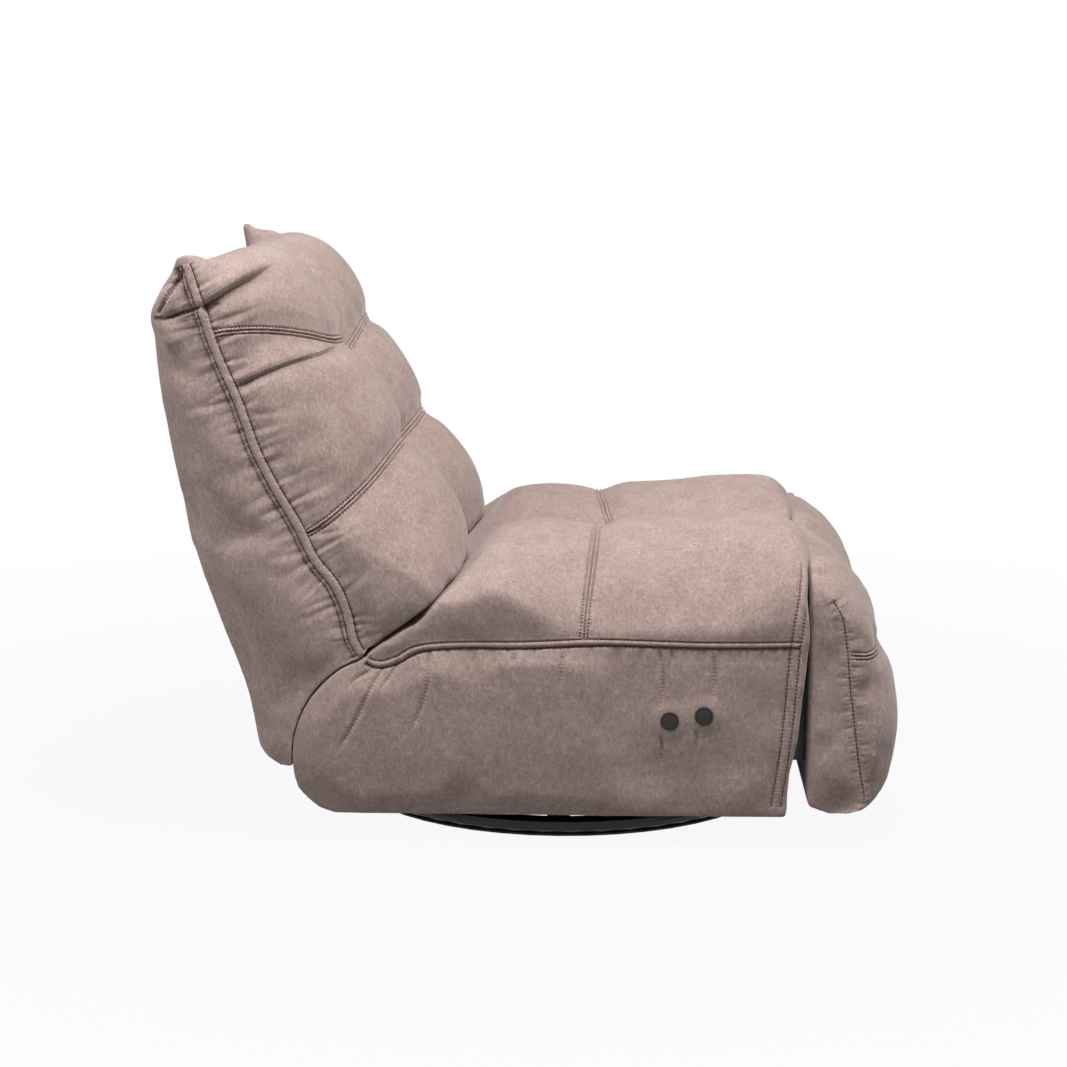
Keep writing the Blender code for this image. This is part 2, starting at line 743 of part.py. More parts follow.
def stop_slot(half):
    """Arc slot about the back's pivot, in which the back's stop stud travels."""
    start = 180 - STOP_ANGLE
    end = start - STOP_TRAVEL
    first = turned_point(back_pivot, STOP_RADIUS, STOP_ANGLE)
    last = turned_point(back_pivot, STOP_RADIUS, STOP_ANGLE + STOP_TRAVEL)
    return (arc(back_pivot, STOP_RADIUS + half, end, start, 8)
            + arc(first, half, start, start + 180, 6)[1:-1]
            + arc(back_pivot, STOP_RADIUS - half, start, end, 8)
            + arc(last, half, end + 180, end + 360, 6)[1:-1])


def side_matrix(side, x, y, z):
    """Lays a turned piece's axis from x outwards on one side of the chair."""
    return Matrix.Translation((x, y, z)) @ Matrix.Rotation(side * math.pi / 2, 4, "Y")


def stud(start, free_low, free_high, carrier, carrier_thick, headed=True):
    """Profile of a stud from its free end to the plate or link that carries it.

    The stretch between free_low and free_high is the pin in the other link's hole.
    """
    low = free_low - start
    high = free_high - start
    end = carrier + carrier_thick / 2 - start
    profile = [(0, 0)]
    if headed:
        profile += [(PIN_HEAD, 0), (PIN_HEAD, low), (PIN_RADIUS, low)]
    else:
        profile += [(PIN_RADIUS, 0)]
    return profile + [(PIN_RADIUS, high), (PIN_HEAD, high), (PIN_HEAD, end), (0, end)]


def weld_pins(link, name, side, places):
    """Rivets of an outer link, each with its head under the inner link."""
    start = inner_in - GAP - PIN_HEAD_THICK
    profile = stud(start, inner_in - GAP, inner_face + GAP, outer_in, LINK_THICK)
    for number, place in enumerate(places):
        weld_on(link, "%s_%d" % (name, number), profile,
                side_matrix(side, side * start, *place))


def links(name, layer, ends, pivots, rivets=()):
    """A pair of equal links, one on each side, in one layer."""
    pieces = []
    low, high = ((outer_in, outer_face), (inner_in, inner_face))[layer]
    holes = [round_hole(place, PIN_RADIUS + RUNNING_GAP) for place in pivots]
    outline = hull([(place, LINK_RADIUS) for place in ends])
    for side_name, side in SIDES:
        link = side_plate(name + "_" + side_name, side, outline, low, high, "zinc", holes)
        if rivets:
            link = as_mesh(link)
            weld_pins(link, name + "_rivet_" + side_name, side, rivets)
        pieces.append(link)
    return pieces


def make_links():
    """Footrest linkage: the links of each body."""
    drive = links("rear_link", 0, (rear_pivot, lower_rear, upper_rear), (rear_pivot,),
                  (lower_rear, upper_rear))
    front = links("front_link", 0, (front_pivot, front_pin), (front_pivot,), (front_pin,))
    lower = links("lower_link", 1, (lower_rear, lower_front),
                  (lower_rear, front_pin, lower_front))
    upper = links("upper_link", 1, (upper_rear, upper_front), (upper_rear, upper_front))
    return drive, front, lower, upper


# Torque tube, crank, and the motor unit

def make_drive():
    reach = outer_in - GAP
    bore = PIN_RADIUS + RUNNING_GAP
    profile = [(bore, -reach), (TORQUE_RADIUS, -reach), (TORQUE_RADIUS, reach),
               (bore, reach), (bore, -reach)]
    tube = lathe("torque_tube", profile, 24, along_x(0, *rear_pivot), "black_steel")
    ear = hull([(rear_pivot, TORQUE_RADIUS + CRANK_PIN), (crank_pin, CRANK_PIN * 2)])
    inner = CRANK_SPREAD / 2
    for name, side in SIDES:
        ends = sorted((side * inner, side * (inner + CRANK_THICK)))
        blank = cutter("crank_ear_" + name, ear, *ends)
        cut(blank, cutter("crank_hole_" + name, round_hole(crank_pin, CRANK_PIN + GAP),
                          ends[0] - OVERRUN, ends[1] + OVERRUN))
        cut(blank, cutter("crank_bore_" + name, round_hole(rear_pivot, TORQUE_RADIUS - GAP),
                          ends[0] - OVERRUN, ends[1] + OVERRUN))
        cut(tube, blank, "UNION")
    span = CRANK_SPREAD / 2 + CRANK_THICK + GAP
    head = PIN_HEAD_THICK
    profile = [(0, 0), (PIN_HEAD, 0), (PIN_HEAD, head), (CRANK_PIN, head),
               (CRANK_PIN, head + 2 * span), (PIN_HEAD, head + 2 * span),
               (PIN_HEAD, 2 * (head + span)), (0, 2 * (head + span))]
    pin = lathe("crank_pin", profile, HOLE_STEPS, along_x(-span - head, *crank_pin), "zinc")
    return [tube, pin]


def make_rod():
    """Rod and its slotted end plate; the crank's pin stands in the slot."""
    rise = crank_pin[1] - crank_low[1]
    slot_half = rise / 2 + CRANK_PIN + YOKE_PLAY / 2
    slot_wide = CRANK_PIN + YOKE_PLAY
    y = crank_pin[0]
    top = rod_z + slot_half - slot_wide
    low = rod_z - slot_half + slot_wide
    slot = arc((y, top), slot_wide, 0, 180, 8) + arc((y, low), slot_wide, 180, 360, 8)
    wall = slot_wide + YOKE_SIDE
    outline = arc((y, top), wall, 0, 180, 8) + arc((y, low), wall, 180, 360, 8)
    outline = square_rear(outline, y + wall)
    yoke = plate("rod_end_yoke", outline, -YOKE_THICK / 2, YOKE_THICK / 2, "zinc")
    yoke = as_mesh(yoke)
    cut(yoke, cutter("yoke_slot", slot, -YOKE_THICK, YOKE_THICK))
    tube_mouth = y + wall + TUBE_SPACE
    start = y + wall + GAP
    end = tube_mouth + stroke + ROD_IN_TUBE
    rod = lathe("actuator_rod", drum(ROD_RADIUS, end - start), 16,
                Matrix.Translation((0, start, rod_z)) @ Matrix.Rotation(-math.pi / 2, 4, "X"),
                "zinc")
    return yoke, rod, tube_mouth


def square_rear(outline, edge):
    """Outline with its rear side flat, for the rod to be fixed to."""
    return [(edge, z) if y > edge - YOKE_SIDE / 2 else (y, z) for y, z in outline]


def make_motor(mouth):
    """Gearbox, outer tube and motor on their post, all fixed to the rear rail."""
    tube_end = REAR_CROSS - BOX_LENGTH / 2 - GAP
    bore = ROD_RADIUS + GAP
    back_wards = Matrix.Rotation(-math.pi / 2, 4, "X")
    length = tube_end - mouth
    profile = [(bore, 0), (TUBE_RADIUS, 0), (TUBE_RADIUS, length), (bore, length), (bore, 0)]
    tube = lathe("actuator_tube", profile, 20,
                 Matrix.Translation((0, mouth, rod_z)) @ back_wards, "black_plastic")
    front = tube_end + GAP
    box_x = TUBE_RADIUS + BOX_EDGE
    low = (-box_x, front, rod_z - BOX_HEIGHT / 2)
    high = (BOX_WIDTH - box_x, front + BOX_LENGTH, rod_z + BOX_HEIGHT / 2)
    gearbox = block("gearbox", low, high, "black_plastic", BOX_EDGE)
    start = front - GAP - MOTOR_LENGTH
    shoulder = MOTOR_RADIUS / 4
    profile = [(0, 0), (MOTOR_RADIUS - shoulder, 0), (MOTOR_RADIUS, shoulder),
               (MOTOR_RADIUS, MOTOR_LENGTH), (0, MOTOR_LENGTH)]
    motor = lathe("motor_can", profile, 24,
                  Matrix.Translation((MOTOR_SIDE, start, rod_z)) @ back_wards, "zinc")
    inlet = lathe("power_inlet", drum(INLET_RADIUS, INLET_LENGTH), 16,
                  Matrix.Translation((MOTOR_SIDE, front + BOX_LENGTH + GAP, rod_z))
                  @ back_wards, "black_plastic")
    foot = cross_top + GAP
    top = low[2] - GAP
    wall = POST_THICK
    half_foot = RAIL_WIDTH / 2
    half_top = BOX_LENGTH / 2 - BOX_EDGE
    half_web = wall / 2
    rising = [(half_foot, foot), (half_foot, foot + wall), (half_web, foot + wall),
              (half_web, top - wall), (half_top, top - wall), (half_top, top)]
    outline = [(REAR_CROSS + y, z) for y, z in rising]
    outline += [(REAR_CROSS - y, z) for y, z in rising[::-1]]
    post = plate("motor_bracket", outline, -box_x, BOX_WIDTH - box_x, "black_steel")
    low = (-CONTROL_SIDE, REAR_CROSS - CONTROL_DEPTH / 2, foot)
    high = (CONTROL_WIDTH - CONTROL_SIDE, REAR_CROSS + CONTROL_DEPTH / 2,
            foot + CONTROL_HEIGHT)
    control = block("control_box", low, high, "black_plastic", BOX_EDGE)
    return [tube, gearbox, motor, inlet, post, control]


# Seat box and seat

def crease_line(height, gap):
    """y of the sloping line from the crease down to the back's foot, at a height."""
    share = (height - back_foot[1]) / (crease[1] - back_foot[1])
    return back_foot[0] + (crease[0] - back_foot[0]) * share - gap


def seat_side(inset, top):
    """Outline of the seat's side below a top line, drawn in by an inset."""
    low = BOX_BOTTOM + inset
    radius = KNUCKLE - inset
    high_angle = math.degrees(math.asin(min(1.0, (top[-1][1] - back_pivot[1]) / radius)))
    drop = back_pivot[1] - low
    corner = SIDE_CORNER
    low_angle = -math.degrees(math.asin((drop - corner) / (radius - corner)))
    turn_in = arc(back_pivot, radius - corner, low_angle, low_angle, 1)[0]
    points = arc(back_pivot, radius, high_angle, low_angle, 22)
    points += arc(turn_in, corner, low_angle, -90, 6)[1:]
    front = -(SIDE_FRONT - inset)
    points.append((front + SIDE_RAKE, low))
    return points + top


def make_seat_box():
    pieces = []
    front = -SIDE_FRONT
    band_end = crease_line(SIDE_BAND, COVER_GAP)
    foot_z = back_pivot[1] + math.sqrt(KNUCKLE ** 2 - (back_foot[0] - back_pivot[0]) ** 2)
    foot = (crease_line(foot_z, COVER_GAP), foot_z)
    cover_top = [(front, SIDE_BAND), (band_end, SIDE_BAND), foot]
    panel_front = front + PANEL_INSET
    shoulder = REAR_RAIL_Y + BOARD_RAIL / 2
    radius = KNUCKLE - PANEL_INSET
    panel_top = [(panel_front, deck_height(panel_front)), (shoulder, deck_height(shoulder)),
                 arc(back_pivot, radius, 97, 97, 1)[0]]
    cover = seat_side(0, cover_top)
    panel = seat_side(PANEL_INSET, panel_top)
    for name, side in SIDES:
        pieces.append(side_plate("side_panel_" + name, side, panel, panel_in, panel_out,
                                 "plywood"))
        pad = soft_panel("side_cover_" + name, side, cover, pad_in, cover_out, SIDE_ROLL)
        if side < 0:
            for number, (y, z) in enumerate(button_places):
                hole = arc((y, z), BEZEL_RADIUS + GAP, 0, 345, 23)
                cut(pad, cutter("bezel_hole_%d" % number, hole,
                                side * (pad_out + OVERRUN), side * (pad_in + GAP)))
        pieces.append(pad)

    reach = panel_in - GAP
    rail_front = panel_front
    top = deck_height(rail_front + BOARD_RAIL)
    pieces.append(block("front_rail", (-reach, rail_front, top - FRONT_RAIL_DEPTH),
                        (reach, rail_front + BOARD_RAIL, top), "timber"))
    half = BOARD_RAIL / 2
    top = deck_height(REAR_RAIL_Y + half)
    pieces.append(block("rear_rail", (-reach, REAR_RAIL_Y - half, top - REAR_RAIL_DEPTH),
                        (reach, REAR_RAIL_Y + half, top), "timber"))

    lift = WIRE / 2 + GAP
    start_y = rail_front + BOARD_RAIL / 4
    end_y = REAR_RAIL_Y + half
    pieces.append(spring_deck("seat_springs", SEAT_SPRINGS, 2 * reach / (SEAT_SPRINGS + 0.5),
                              (start_y, deck_height(start_y) + lift),
                              (end_y, deck_height(end_y) + lift), SEAT_WAVES))

    half = pad_in - GAP
    rear = back_pivot[0] + SIDE_CORNER / 2
    rail_end = RAIL_WIDTH / 2 + RAIL_OVERHANG + DUST_HOLE_SPACE
    loops = [rectangle(half, -(SIDE_FRONT - SIDE_RAKE - DUST_INSET), rear),
             rectangle(DUST_HOLE_SIDE, FRONT_CROSS - rail_end, REAR_CROSS + rail_end)]
    pieces.append(flat_outline("dust_cover", loops, BOX_BOTTOM, DUST_THICK, "dust_cloth"))
    return pieces


def soft_panel(name, side, outline, x_low, x_high, roll):
    """Padded side cover with its outer edge rolled over."""
    bm = bmesh.new()
    face = bm.faces.new([bm.verts.new((side * x_low, y, z)) for y, z in outline])
    grown = bmesh.ops.extrude_face_region(bm, geom=[face])["geom"]
    moved = [item for item in grown if isinstance(item, bmesh.types.BMVert)]
    outer = [item for item in grown if isinstance(item, bmesh.types.BMEdge)]
    bmesh.ops.translate(bm, verts=moved, vec=(side * (x_high - x_low), 0, 0))
    bmesh.ops.bevel(bm, geom=outer, offset=roll, segments=3, profile=0.5, affect="EDGES")
    return add_mesh(name, bm, "suede", 60.0)


def outward_share(x, reach, floor_share):
    """How much of a cushion's crown stands at a place across one half."""
    middle = CROWN_SHARE * pad_out
    across = min(1.0, max(0.0, (abs(x) - middle) / (reach - middle)))
    return floor_share + (1 - floor_share) * (1 - across ** 2.2) ** (1 / 2.2)


def valley_share(x, depth):
    inward = max(0.0, 1 - abs(x) / (CROWN_SHARE * pad_out))
    return 1 - depth * inward ** 2


def stations(reach):
    """Places of the cross sections, closer together at the middle and the side."""
    half = [reach * share for share in STATION_SHARES]
    return [-x for x in half[:0:-1]] + half


def make_seat_cushion():
    band = SIDE_BAND + GAP
    front = -SIDE_FRONT
    rings = []
    crown_top = [(front + share * (crease[0] - front), rise * SEAT_RISE)
                 for share, rise in SEAT_CROWN_SHARES]
    for x in stations(pad_out):
        out = outward_share(x, pad_out, 0.10)
        mid = valley_share(x, SEAT_VALLEY)
        ring = [(x, front, band)]
        for y, rise in crown_top:
            z = band + rise * out * mid
            ring.append((x, min(y, crease_line(z, COVER_GAP)), z))
        last = ring[-1][2]
        middle = (band + last) / 2
        ring.append((x, crease_line(middle, COVER_GAP), middle))
        ring.append((x, crease_line(band, COVER_GAP), band))
        rings.append(ring)
    cushion = loft("seat_cushion", rings, "suede")
    deep = SIDE_BAND - OVERRUN
    front_y = front - OVERRUN
    rear_y = crease_line(deep, -OVERRUN)
    lift = WIRE + GAP * 2
    outline = [(front_y, deep), (rear_y, deep), (rear_y, deck_height(rear_y) + lift),
               (front_y, deck_height(front_y) + lift)]
    reach = panel_out + GAP
    cut(cushion, cutter("seat_deck_space", outline, -reach, reach))
    return cushion


def make_buttons():
    """Two switch bezels in the side cover, each with a button that slides in it."""
    bezels = []
    buttons = []
    rim = pad_out - BUTTON_SET_IN - BUTTON_DOME
    bore = BUTTON_RADIUS + SWITCH_CLEAR
    start = pad_in + GAP * 2
    base = rim - BUTTON_DEPTH - BUTTON_TRAVEL - BUTTON_SPACE - start
    depth = cover_out + BEZEL_PROUD - start
    profile = [(0, 0), (BEZEL_RADIUS, 0), (BEZEL_RADIUS, depth), (bore, depth),
               (bore, base), (0, base)]
    dome = [(0, 0), (BUTTON_RADIUS, 0)]
    for step in range(5):
        angle = math.pi / 2 * step / 5
        dome.append((BUTTON_RADIUS * math.cos(angle),
                     BUTTON_DEPTH + BUTTON_DOME * math.sin(angle)))
    dome.append((0, BUTTON_DEPTH + BUTTON_DOME))
    for name, place in zip(("close", "open"), button_places):
        bezels.append(lathe("button_bezel_" + name, profile, 24,
                            side_matrix(-1, -start, *place), "black_plastic"))
        buttons.append(lathe("button_" + name, dome, 24,
                             side_matrix(-1, -(rim - BUTTON_DEPTH), *place),
                             "button_plastic"))
    return bezels, buttons


# Back

iron_end = back_point(IRON_LENGTH - KNUCKLE, -(GAP + BACK_POST_DEPTH) / 2)


def make_back_frame():
    pieces = []
    deep = -GAP - BACK_POST_DEPTH
    stop = turned_point(back_pivot, STOP_RADIUS, STOP_ANGLE)
    half = IRON_WIDTH / 2
    outline = hull([(back_pivot, half), (iron_end, half)])
    holes = [round_hole(back_pivot, PIN_RADIUS + RUNNING_GAP)]
    start = outer_in + LINK_THICK / 2
    washer = plate_in - GAP - start
    end = plate_face - GAP - start
    profile = [(0, 0), (PIN_HEAD, 0), (PIN_HEAD, washer), (PIN_RADIUS, washer),
               (PIN_RADIUS, end), (0, end)]
    post = [back_point(BACK_POST_LOW, deep), back_point(BACK_POST_LOW, -GAP),
            back_point(BACK_POST_HIGH, -GAP), back_point(BACK_POST_HIGH, deep)]
    post_in = outer_face + GAP
    for name, side in SIDES:
        iron = as_mesh(side_plate("back_iron_" + name, side, outline, outer_in, outer_face,
                                  "black_steel", holes))
        weld_on(iron, "stop_stud_" + name, profile, side_matrix(side, side * start, *stop))
        pieces.append(iron)
        pieces.append(side_plate("back_post_" + name, side, post, post_in,
                                 post_in + BACK_POST, "timber"))
    rail_face = -WIRE - 3 * GAP
    for name, low in (("low", BACK_POST_LOW), ("top", BACK_POST_HIGH - BACK_RAIL)):
        beside_iron = low < IRON_LENGTH - KNUCKLE + IRON_WIDTH / 2
        reach = outer_in - GAP if beside_iron else post_in - GAP
        outline = [back_point(low, deep), back_point(low, rail_face),
                   back_point(low + BACK_RAIL, rail_face),
                   back_point(low + BACK_RAIL, deep)]
        pieces.append(plate("back_%s_rail" % name, outline, -reach, reach, "timber"))

    wire_n = rail_face + GAP + WIRE / 2
    pieces.append(spring_deck(
        "back_springs", BACK_SPRINGS, 2 * outer_in / (BACK_SPRINGS + 0.5),
        back_point(BACK_POST_LOW + BACK_RAIL / 4, wire_n),
        back_point(BACK_POST_HIGH - BACK_RAIL / 4, wire_n), BACK_WAVES))
    return pieces


def make_back_cushion():
    """Front of the back: two halves, each with three rows between sewn seams."""
    rings = []
    first = BACK_CROWN_SHARES[0][0]
    edge = BACK_EDGE / BACK_CROWN
    for x in stations(pad_out):
        thick = outward_share(x, pad_out, edge) * valley_share(x, BACK_VALLEY)
        ring = [(x, *back_point(0, GAP))]
        for index, (along, rise) in enumerate(BACK_CROWN_SHARES):
            drop = (1 - thick) * first * max(0.0, 1 - index / 3)
            lift = max(rise * thick * BACK_CROWN, GAP)
            ring.append((x, *back_point((along - drop) * BACK_LENGTH, lift)))
        rings.append(ring)
    return loft("back_cushion", rings, "suede")


def make_back_shell():
    """Padded rear and sides of the back, with a pocket for the frame."""
    rear = pad_out - BACK_ROLL
    half = [0.0, rear / 2, rear] + [rear + BACK_ROLL * share for share in EDGE_SHARES]
    places = [-x for x in half[:0:-1]] + half
    knuckle = arc(back_pivot, KNUCKLE + KNUCKLE_GAP, -1, 70.5, 20)
    rings = []
    for x in places:
        share = max(0.0, (abs(x) - rear) / BACK_ROLL)
        inset = BACK_ROLL * (1 - math.sqrt(max(0.0, 1 - share ** 2)))
        scale = 1 - inset / BACK_BULK
        ring = [(x, *back_point(0, -GAP)), (x, *back_point(BACK_LENGTH, -GAP))]
        for along, depth in BACK_REAR_SHARES:
            ring.append((x, *back_point(along * BACK_LENGTH, depth * scale * BACK_BULK)))
        ring += [(x, *point) for point in knuckle]
        rings.append(ring)
    shell = loft("back_shell", rings, "suede")
    low = BACK_POST_LOW - OVERRUN
    high = BACK_POST_HIGH + GAP
    deep = -GAP * 2 - BACK_POST_DEPTH
    pocket = [back_point(low, OVERRUN), back_point(high, OVERRUN), back_point(high, deep),
              back_point((low + high) / 2, (deep - POCKET_DEPTH) / 2),
              back_point(low, -POCKET_DEPTH)]
    reach = pad_out - POCKET_SIDE
    cut(shell, cutter("frame_pocket", pocket, -reach, reach))
    room = IRON_WIDTH / 2 + IRON_SLOT
    slot = hull([(back_pivot, room), (iron_end, room)])
    for name, side in SIDES:
        ends = sorted((side * (outer_in - IRON_SLOT), side * (outer_face + IRON_SLOT)))
        cut(shell, cutter("iron_slot_" + name, slot, *ends))
    return shell


# Footrest

def make_footrest():
    pieces = []
    rear_edge = lower_front[0] + BRACKET_WIDTH / 2
    front_edge = lower_front[0] - BRACKET_WIDTH / 2
    top = lower_front[1] + BRACKET_TOP
    low = top - BRACKET_LENGTH
    foot = front_edge + (BRACKET_WIDTH / 2 - LINK_RADIUS - GAP)
    for name, side in SIDES:
        profile = [(outer_face, rear_edge), (outer_in, rear_edge), (outer_in, foot),
                   (outer_in - BRACKET_WIDTH, foot), (outer_in - BRACKET_WIDTH, front_edge),
                   (outer_face, front_edge)]
        bm = bmesh.new()
        face = bm.faces.new([bm.verts.new((side * x, y, low)) for x, y in profile])
        grown = bmesh.ops.extrude_face_region(bm, geom=[face])["geom"]
        moved = [item for item in grown if isinstance(item, bmesh.types.BMVert)]
        bmesh.ops.translate(bm, verts=moved, vec=(0, 0, top - low))
        bracket = add_mesh("footrest_bracket_" + name, bm, "black_steel")
        weld_pins(bracket, "bracket_rivet_" + name, side, (lower_front, upper_front))
        pieces.append(bracket)
    half = pad_out - PAD_SIDE - BOARD_INSET
    pieces.append(block("footrest_board", (-half, board_front, BOARD_LOW),
                        (half, board_rear, BOARD_HIGH), "plywood", BOARD_THICK / 6))
    pieces.append(make_footrest_pad(half))
    return pieces


def make_footrest_pad(board_half):
    """Pillow on the board's front, wrapped round the board's edges."""
    face = board_front - GAP
    rear = face + PAD_WRAP
    depth = face + COVER_FRONT
    height = PAD_HIGH - PAD_LOW
    reach = pad_out - PAD_SIDE
    drawn = 1 - PAD_CROWN / depth
    rings = []
    for x in stations(reach):
        thick = outward_share(x, reach, drawn) * valley_share(x, PAD_CROWN / depth)
        end = PAD_END_DROP * (1 - outward_share(x, reach, 0))
        ring = [(x, rear, PAD_HIGH - end)]
        for forward, up in PAD_FRONT_SHARES:
            shrink = 1 - end / height
            z = PAD_LOW + height * (up * shrink + (1 - shrink) / 2)
            ring.append((x, face - depth * forward * thick, z))
        ring.append((x, rear, ring[-1][2] + PAD_END_DROP))
        rings.append(ring)
    pad = loft("footrest_pad", rings, "suede")
    ends = [(rear + OVERRUN, BOARD_LOW - GAP), (rear + OVERRUN, BOARD_HIGH + GAP),
            (face, BOARD_HIGH + GAP), (face, BOARD_LOW - GAP)]
    cut(pad, cutter("board_space", ends, -board_half - GAP, board_half + GAP))
    return pad


# Assembly

def main():
    root = add_empty("chair_origin", 0, 0, None)
    swivel = add_empty("joint_swivel", 0, 0, root)
    drive_joint = add_empty("joint_footrest_open", *rear_pivot, swivel)
    lower_joint = add_empty("joint_lower_link", *lower_rear, drive_joint)
    foot_joint = add_empty("joint_footrest", *lower_front, lower_joint)
    upper_joint = add_empty("joint_upper_link", *upper_rear, drive_joint)
    front_joint = add_empty("joint_front_link", *front_pivot, swivel)
    back_joint = add_empty("joint_back_recline", *back_pivot, swivel)

    for piece in make_base():
        hang(piece, root)
    yoke, rod, mouth = make_rod()
    bezels, buttons = make_buttons()
    fixed = make_chassis() + make_seat_box() + make_motor(mouth)
    for piece in fixed + bezels + buttons + [make_seat_cushion(), yoke, rod]:
        hang(piece, swivel)
    drive, front, lower, upper = make_links()
    for piece in make_drive() + drive:
        hang(piece, drive_joint)
    for pieces, joint in ((front, front_joint), (lower, lower_joint), (upper, upper_joint),
                          (make_footrest(), foot_joint)):
        for piece in pieces:
            hang(piece, joint)
    for piece in make_back_frame() + [make_back_cushion(), make_back_shell()]:
        hang(piece, back_joint)
    for tool in cutters.objects:
        hang(tool, swivel)
    root.location.y = swivel_y


clear_scene()
parts = make_collection("power_recliner")
cutters = make_collection("cutters")
main()
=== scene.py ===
"""Looks of the armless power recliner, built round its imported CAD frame.

The chair faces -Y, with +Z up and the sitter's right hand at -X.  Points of the side
view are pairs (y, z) counted from the swivel axis, as in the part's source.
"""

import math

import bmesh
import bpy
import numpy as np
from mathutils import Matrix, Vector
from mathutils.bvhtree import BVHTree
from mathutils.kdtree import KDTree


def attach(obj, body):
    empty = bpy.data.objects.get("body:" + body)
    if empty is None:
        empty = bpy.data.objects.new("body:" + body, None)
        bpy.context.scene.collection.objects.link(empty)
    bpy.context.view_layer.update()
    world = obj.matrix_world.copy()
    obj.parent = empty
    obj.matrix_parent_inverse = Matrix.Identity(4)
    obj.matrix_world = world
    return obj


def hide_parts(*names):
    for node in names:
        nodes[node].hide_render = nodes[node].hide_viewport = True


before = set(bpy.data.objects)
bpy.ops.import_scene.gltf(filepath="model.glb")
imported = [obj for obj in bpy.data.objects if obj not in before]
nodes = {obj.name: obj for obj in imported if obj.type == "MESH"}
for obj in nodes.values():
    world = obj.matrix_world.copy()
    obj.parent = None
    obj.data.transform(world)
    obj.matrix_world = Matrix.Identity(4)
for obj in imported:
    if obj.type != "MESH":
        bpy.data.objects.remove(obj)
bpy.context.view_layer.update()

# Sizes of the part, in metres
SWIVEL_Y = -0.039          # swivel axis, from the middle of the chair's length
CROWN_X = 0.195            # middle of one half of seat or back
BACK_PIVOT = (0.229, 0.130)
KNUCKLE = 0.162            # seat's round rear end, about the back's pivot
CREASE = (0.130, 0.405)
CREASE_EASE = 0.040        # height over which the covers leave the crease's plane
BACK_FOOT = (0.283, 0.285)
LEAN = math.radians(24.2)
BACK_LENGTH = 0.620
BAND_Z = 0.305
TUCK_Z = 0.345             # where the seat's underside meets the crease
SEAT_FRONT = -0.366
COVER_BOTTOM = 0.044       # hem of the side covers, below the frame's rails
PANEL_OUT = 0.3503         # outer face of the plywood sides
BOARD_FACE = -0.3798       # front of the footrest board
BOARD_TOP = 0.412
PAD_LOW = 0.038
PAD_HIGH = 0.421           # of the cover, whose corners are drawn down
BACK_REACH = 0.397         # half width at which each cover's swell ends
SEAT_REACH = 0.398
PAD_REACH = 0.388
BACK_DIP = 0.36            # share of the swell that is missing in the middle
SEAT_DIP = 0.28
PAD_DIP = 0.10
DECK_FRONT = (-0.352, 0.387)
DECK_REAR = (0.150, 0.335)

VOXEL = 0.0075             # spacing of the cloth's points
CLOTH_FRAMES = 16
CLOTH_SLACK = 0.05         # share by which the cover is cut larger than its form
SEAM_STEP = 0.002
STITCH_PITCH = 0.0056
STITCH_SIDE = 0.0054       # of a stitch row from its seam
STITCH_SPAN = 0.0016
STITCH_LENGTH = 0.0037
THREAD = 0.00055           # radius of the thread
PUCKER = 0.0024            # depth of the cloth's pull at each needle hole
WAVER = 0.00035            # of a seam's edge from stitch to stitch
# Each cover's pressure, greatest swell and rounds of smoothing
BACK_PADDING = (4.5, 0.013, 8)
SEAT_PADDING = (4.0, 0.011, 18)
FOOTREST_PADDING = (4.0, 0.011, 8)
# How far from its line a seam or fold gets finer faces, and then the finest ones
BAND_ZONE = 0.052
SEAM_ZONE = 0.034
BOXING_ZONE = 0.030
FOLD_ZONE = 0.024
CORNER_ZONE = 0.020
SEAM_CORE = 0.0090
FOLD_CORE = 0.0080
THIN_CORE = 0.0060
CORNER_CORE = 0.0050


# Points and profiles

def back_point(along, normal):
    """Point (y, z) from its place along and in front of the back's plane."""
    return (BACK_FOOT[0] + along * math.sin(LEAN) - normal * math.cos(LEAN),
            BACK_FOOT[1] + along * math.cos(LEAN) + normal * math.sin(LEAN))


def arc(centre, radius, start, end, steps):
    angles = np.radians(np.linspace(start, end, steps + 1))
    return [(centre[0] + radius * math.cos(a), centre[1] + radius * math.sin(a))
            for a in angles]


def crease_y(z, gap):
    """y of the sloping line from the crease down to the back's foot, at a height."""
    share = (z - BACK_FOOT[1]) / (CREASE[1] - BACK_FOOT[1])
    return BACK_FOOT[0] + (CREASE[0] - BACK_FOOT[0]) * share - gap


def deck_height(y):
    """Top of the sloping deck that carries the seat's springs."""
    share = (y - DECK_FRONT[0]) / (DECK_REAR[0] - DECK_FRONT[0])
    return DECK_FRONT[1] + (DECK_REAR[1] - DECK_FRONT[1]) * share


def smooth_line(points, step):
    """Evenly spaced points on a smooth curve through the given ones."""
    points = np.array(points, float)
    padded = np.vstack([2 * points[0] - points[1], points, 2 * points[-1] - points[-2]])
    dense = []
    for index in range(1, len(padded) - 2):
        a, b, c, d = padded[index - 1:index + 3]
        t = np.linspace(0, 1, 24, endpoint=False)[:, None]
        dense.append(0.5 * (2 * b + (c - a) * t + (2 * a - 5 * b + 4 * c - d) * t ** 2
                            + (3 * b - a - 3 * c + d) * t ** 3))
    dense = np.vstack(dense + [points[-1:]])
    lengths = np.concatenate([[0], np.cumsum(np.linalg.norm(np.diff(dense, axis=0), axis=1))])
    places = np.linspace(0, lengths[-1], max(2, int(round(lengths[-1] / step)) + 1))
    return np.stack([np.interp(places, lengths, dense[:, axis])
                     for axis in range(dense.shape[1])], axis=1)


def resample(line, count):
    """The same line with this many points."""
    index = np.linspace(0, len(line) - 1, count)
    return np.stack([np.interp(index, np.arange(len(line)), line[:, axis])
                     for axis in (0, 1)], axis=1)


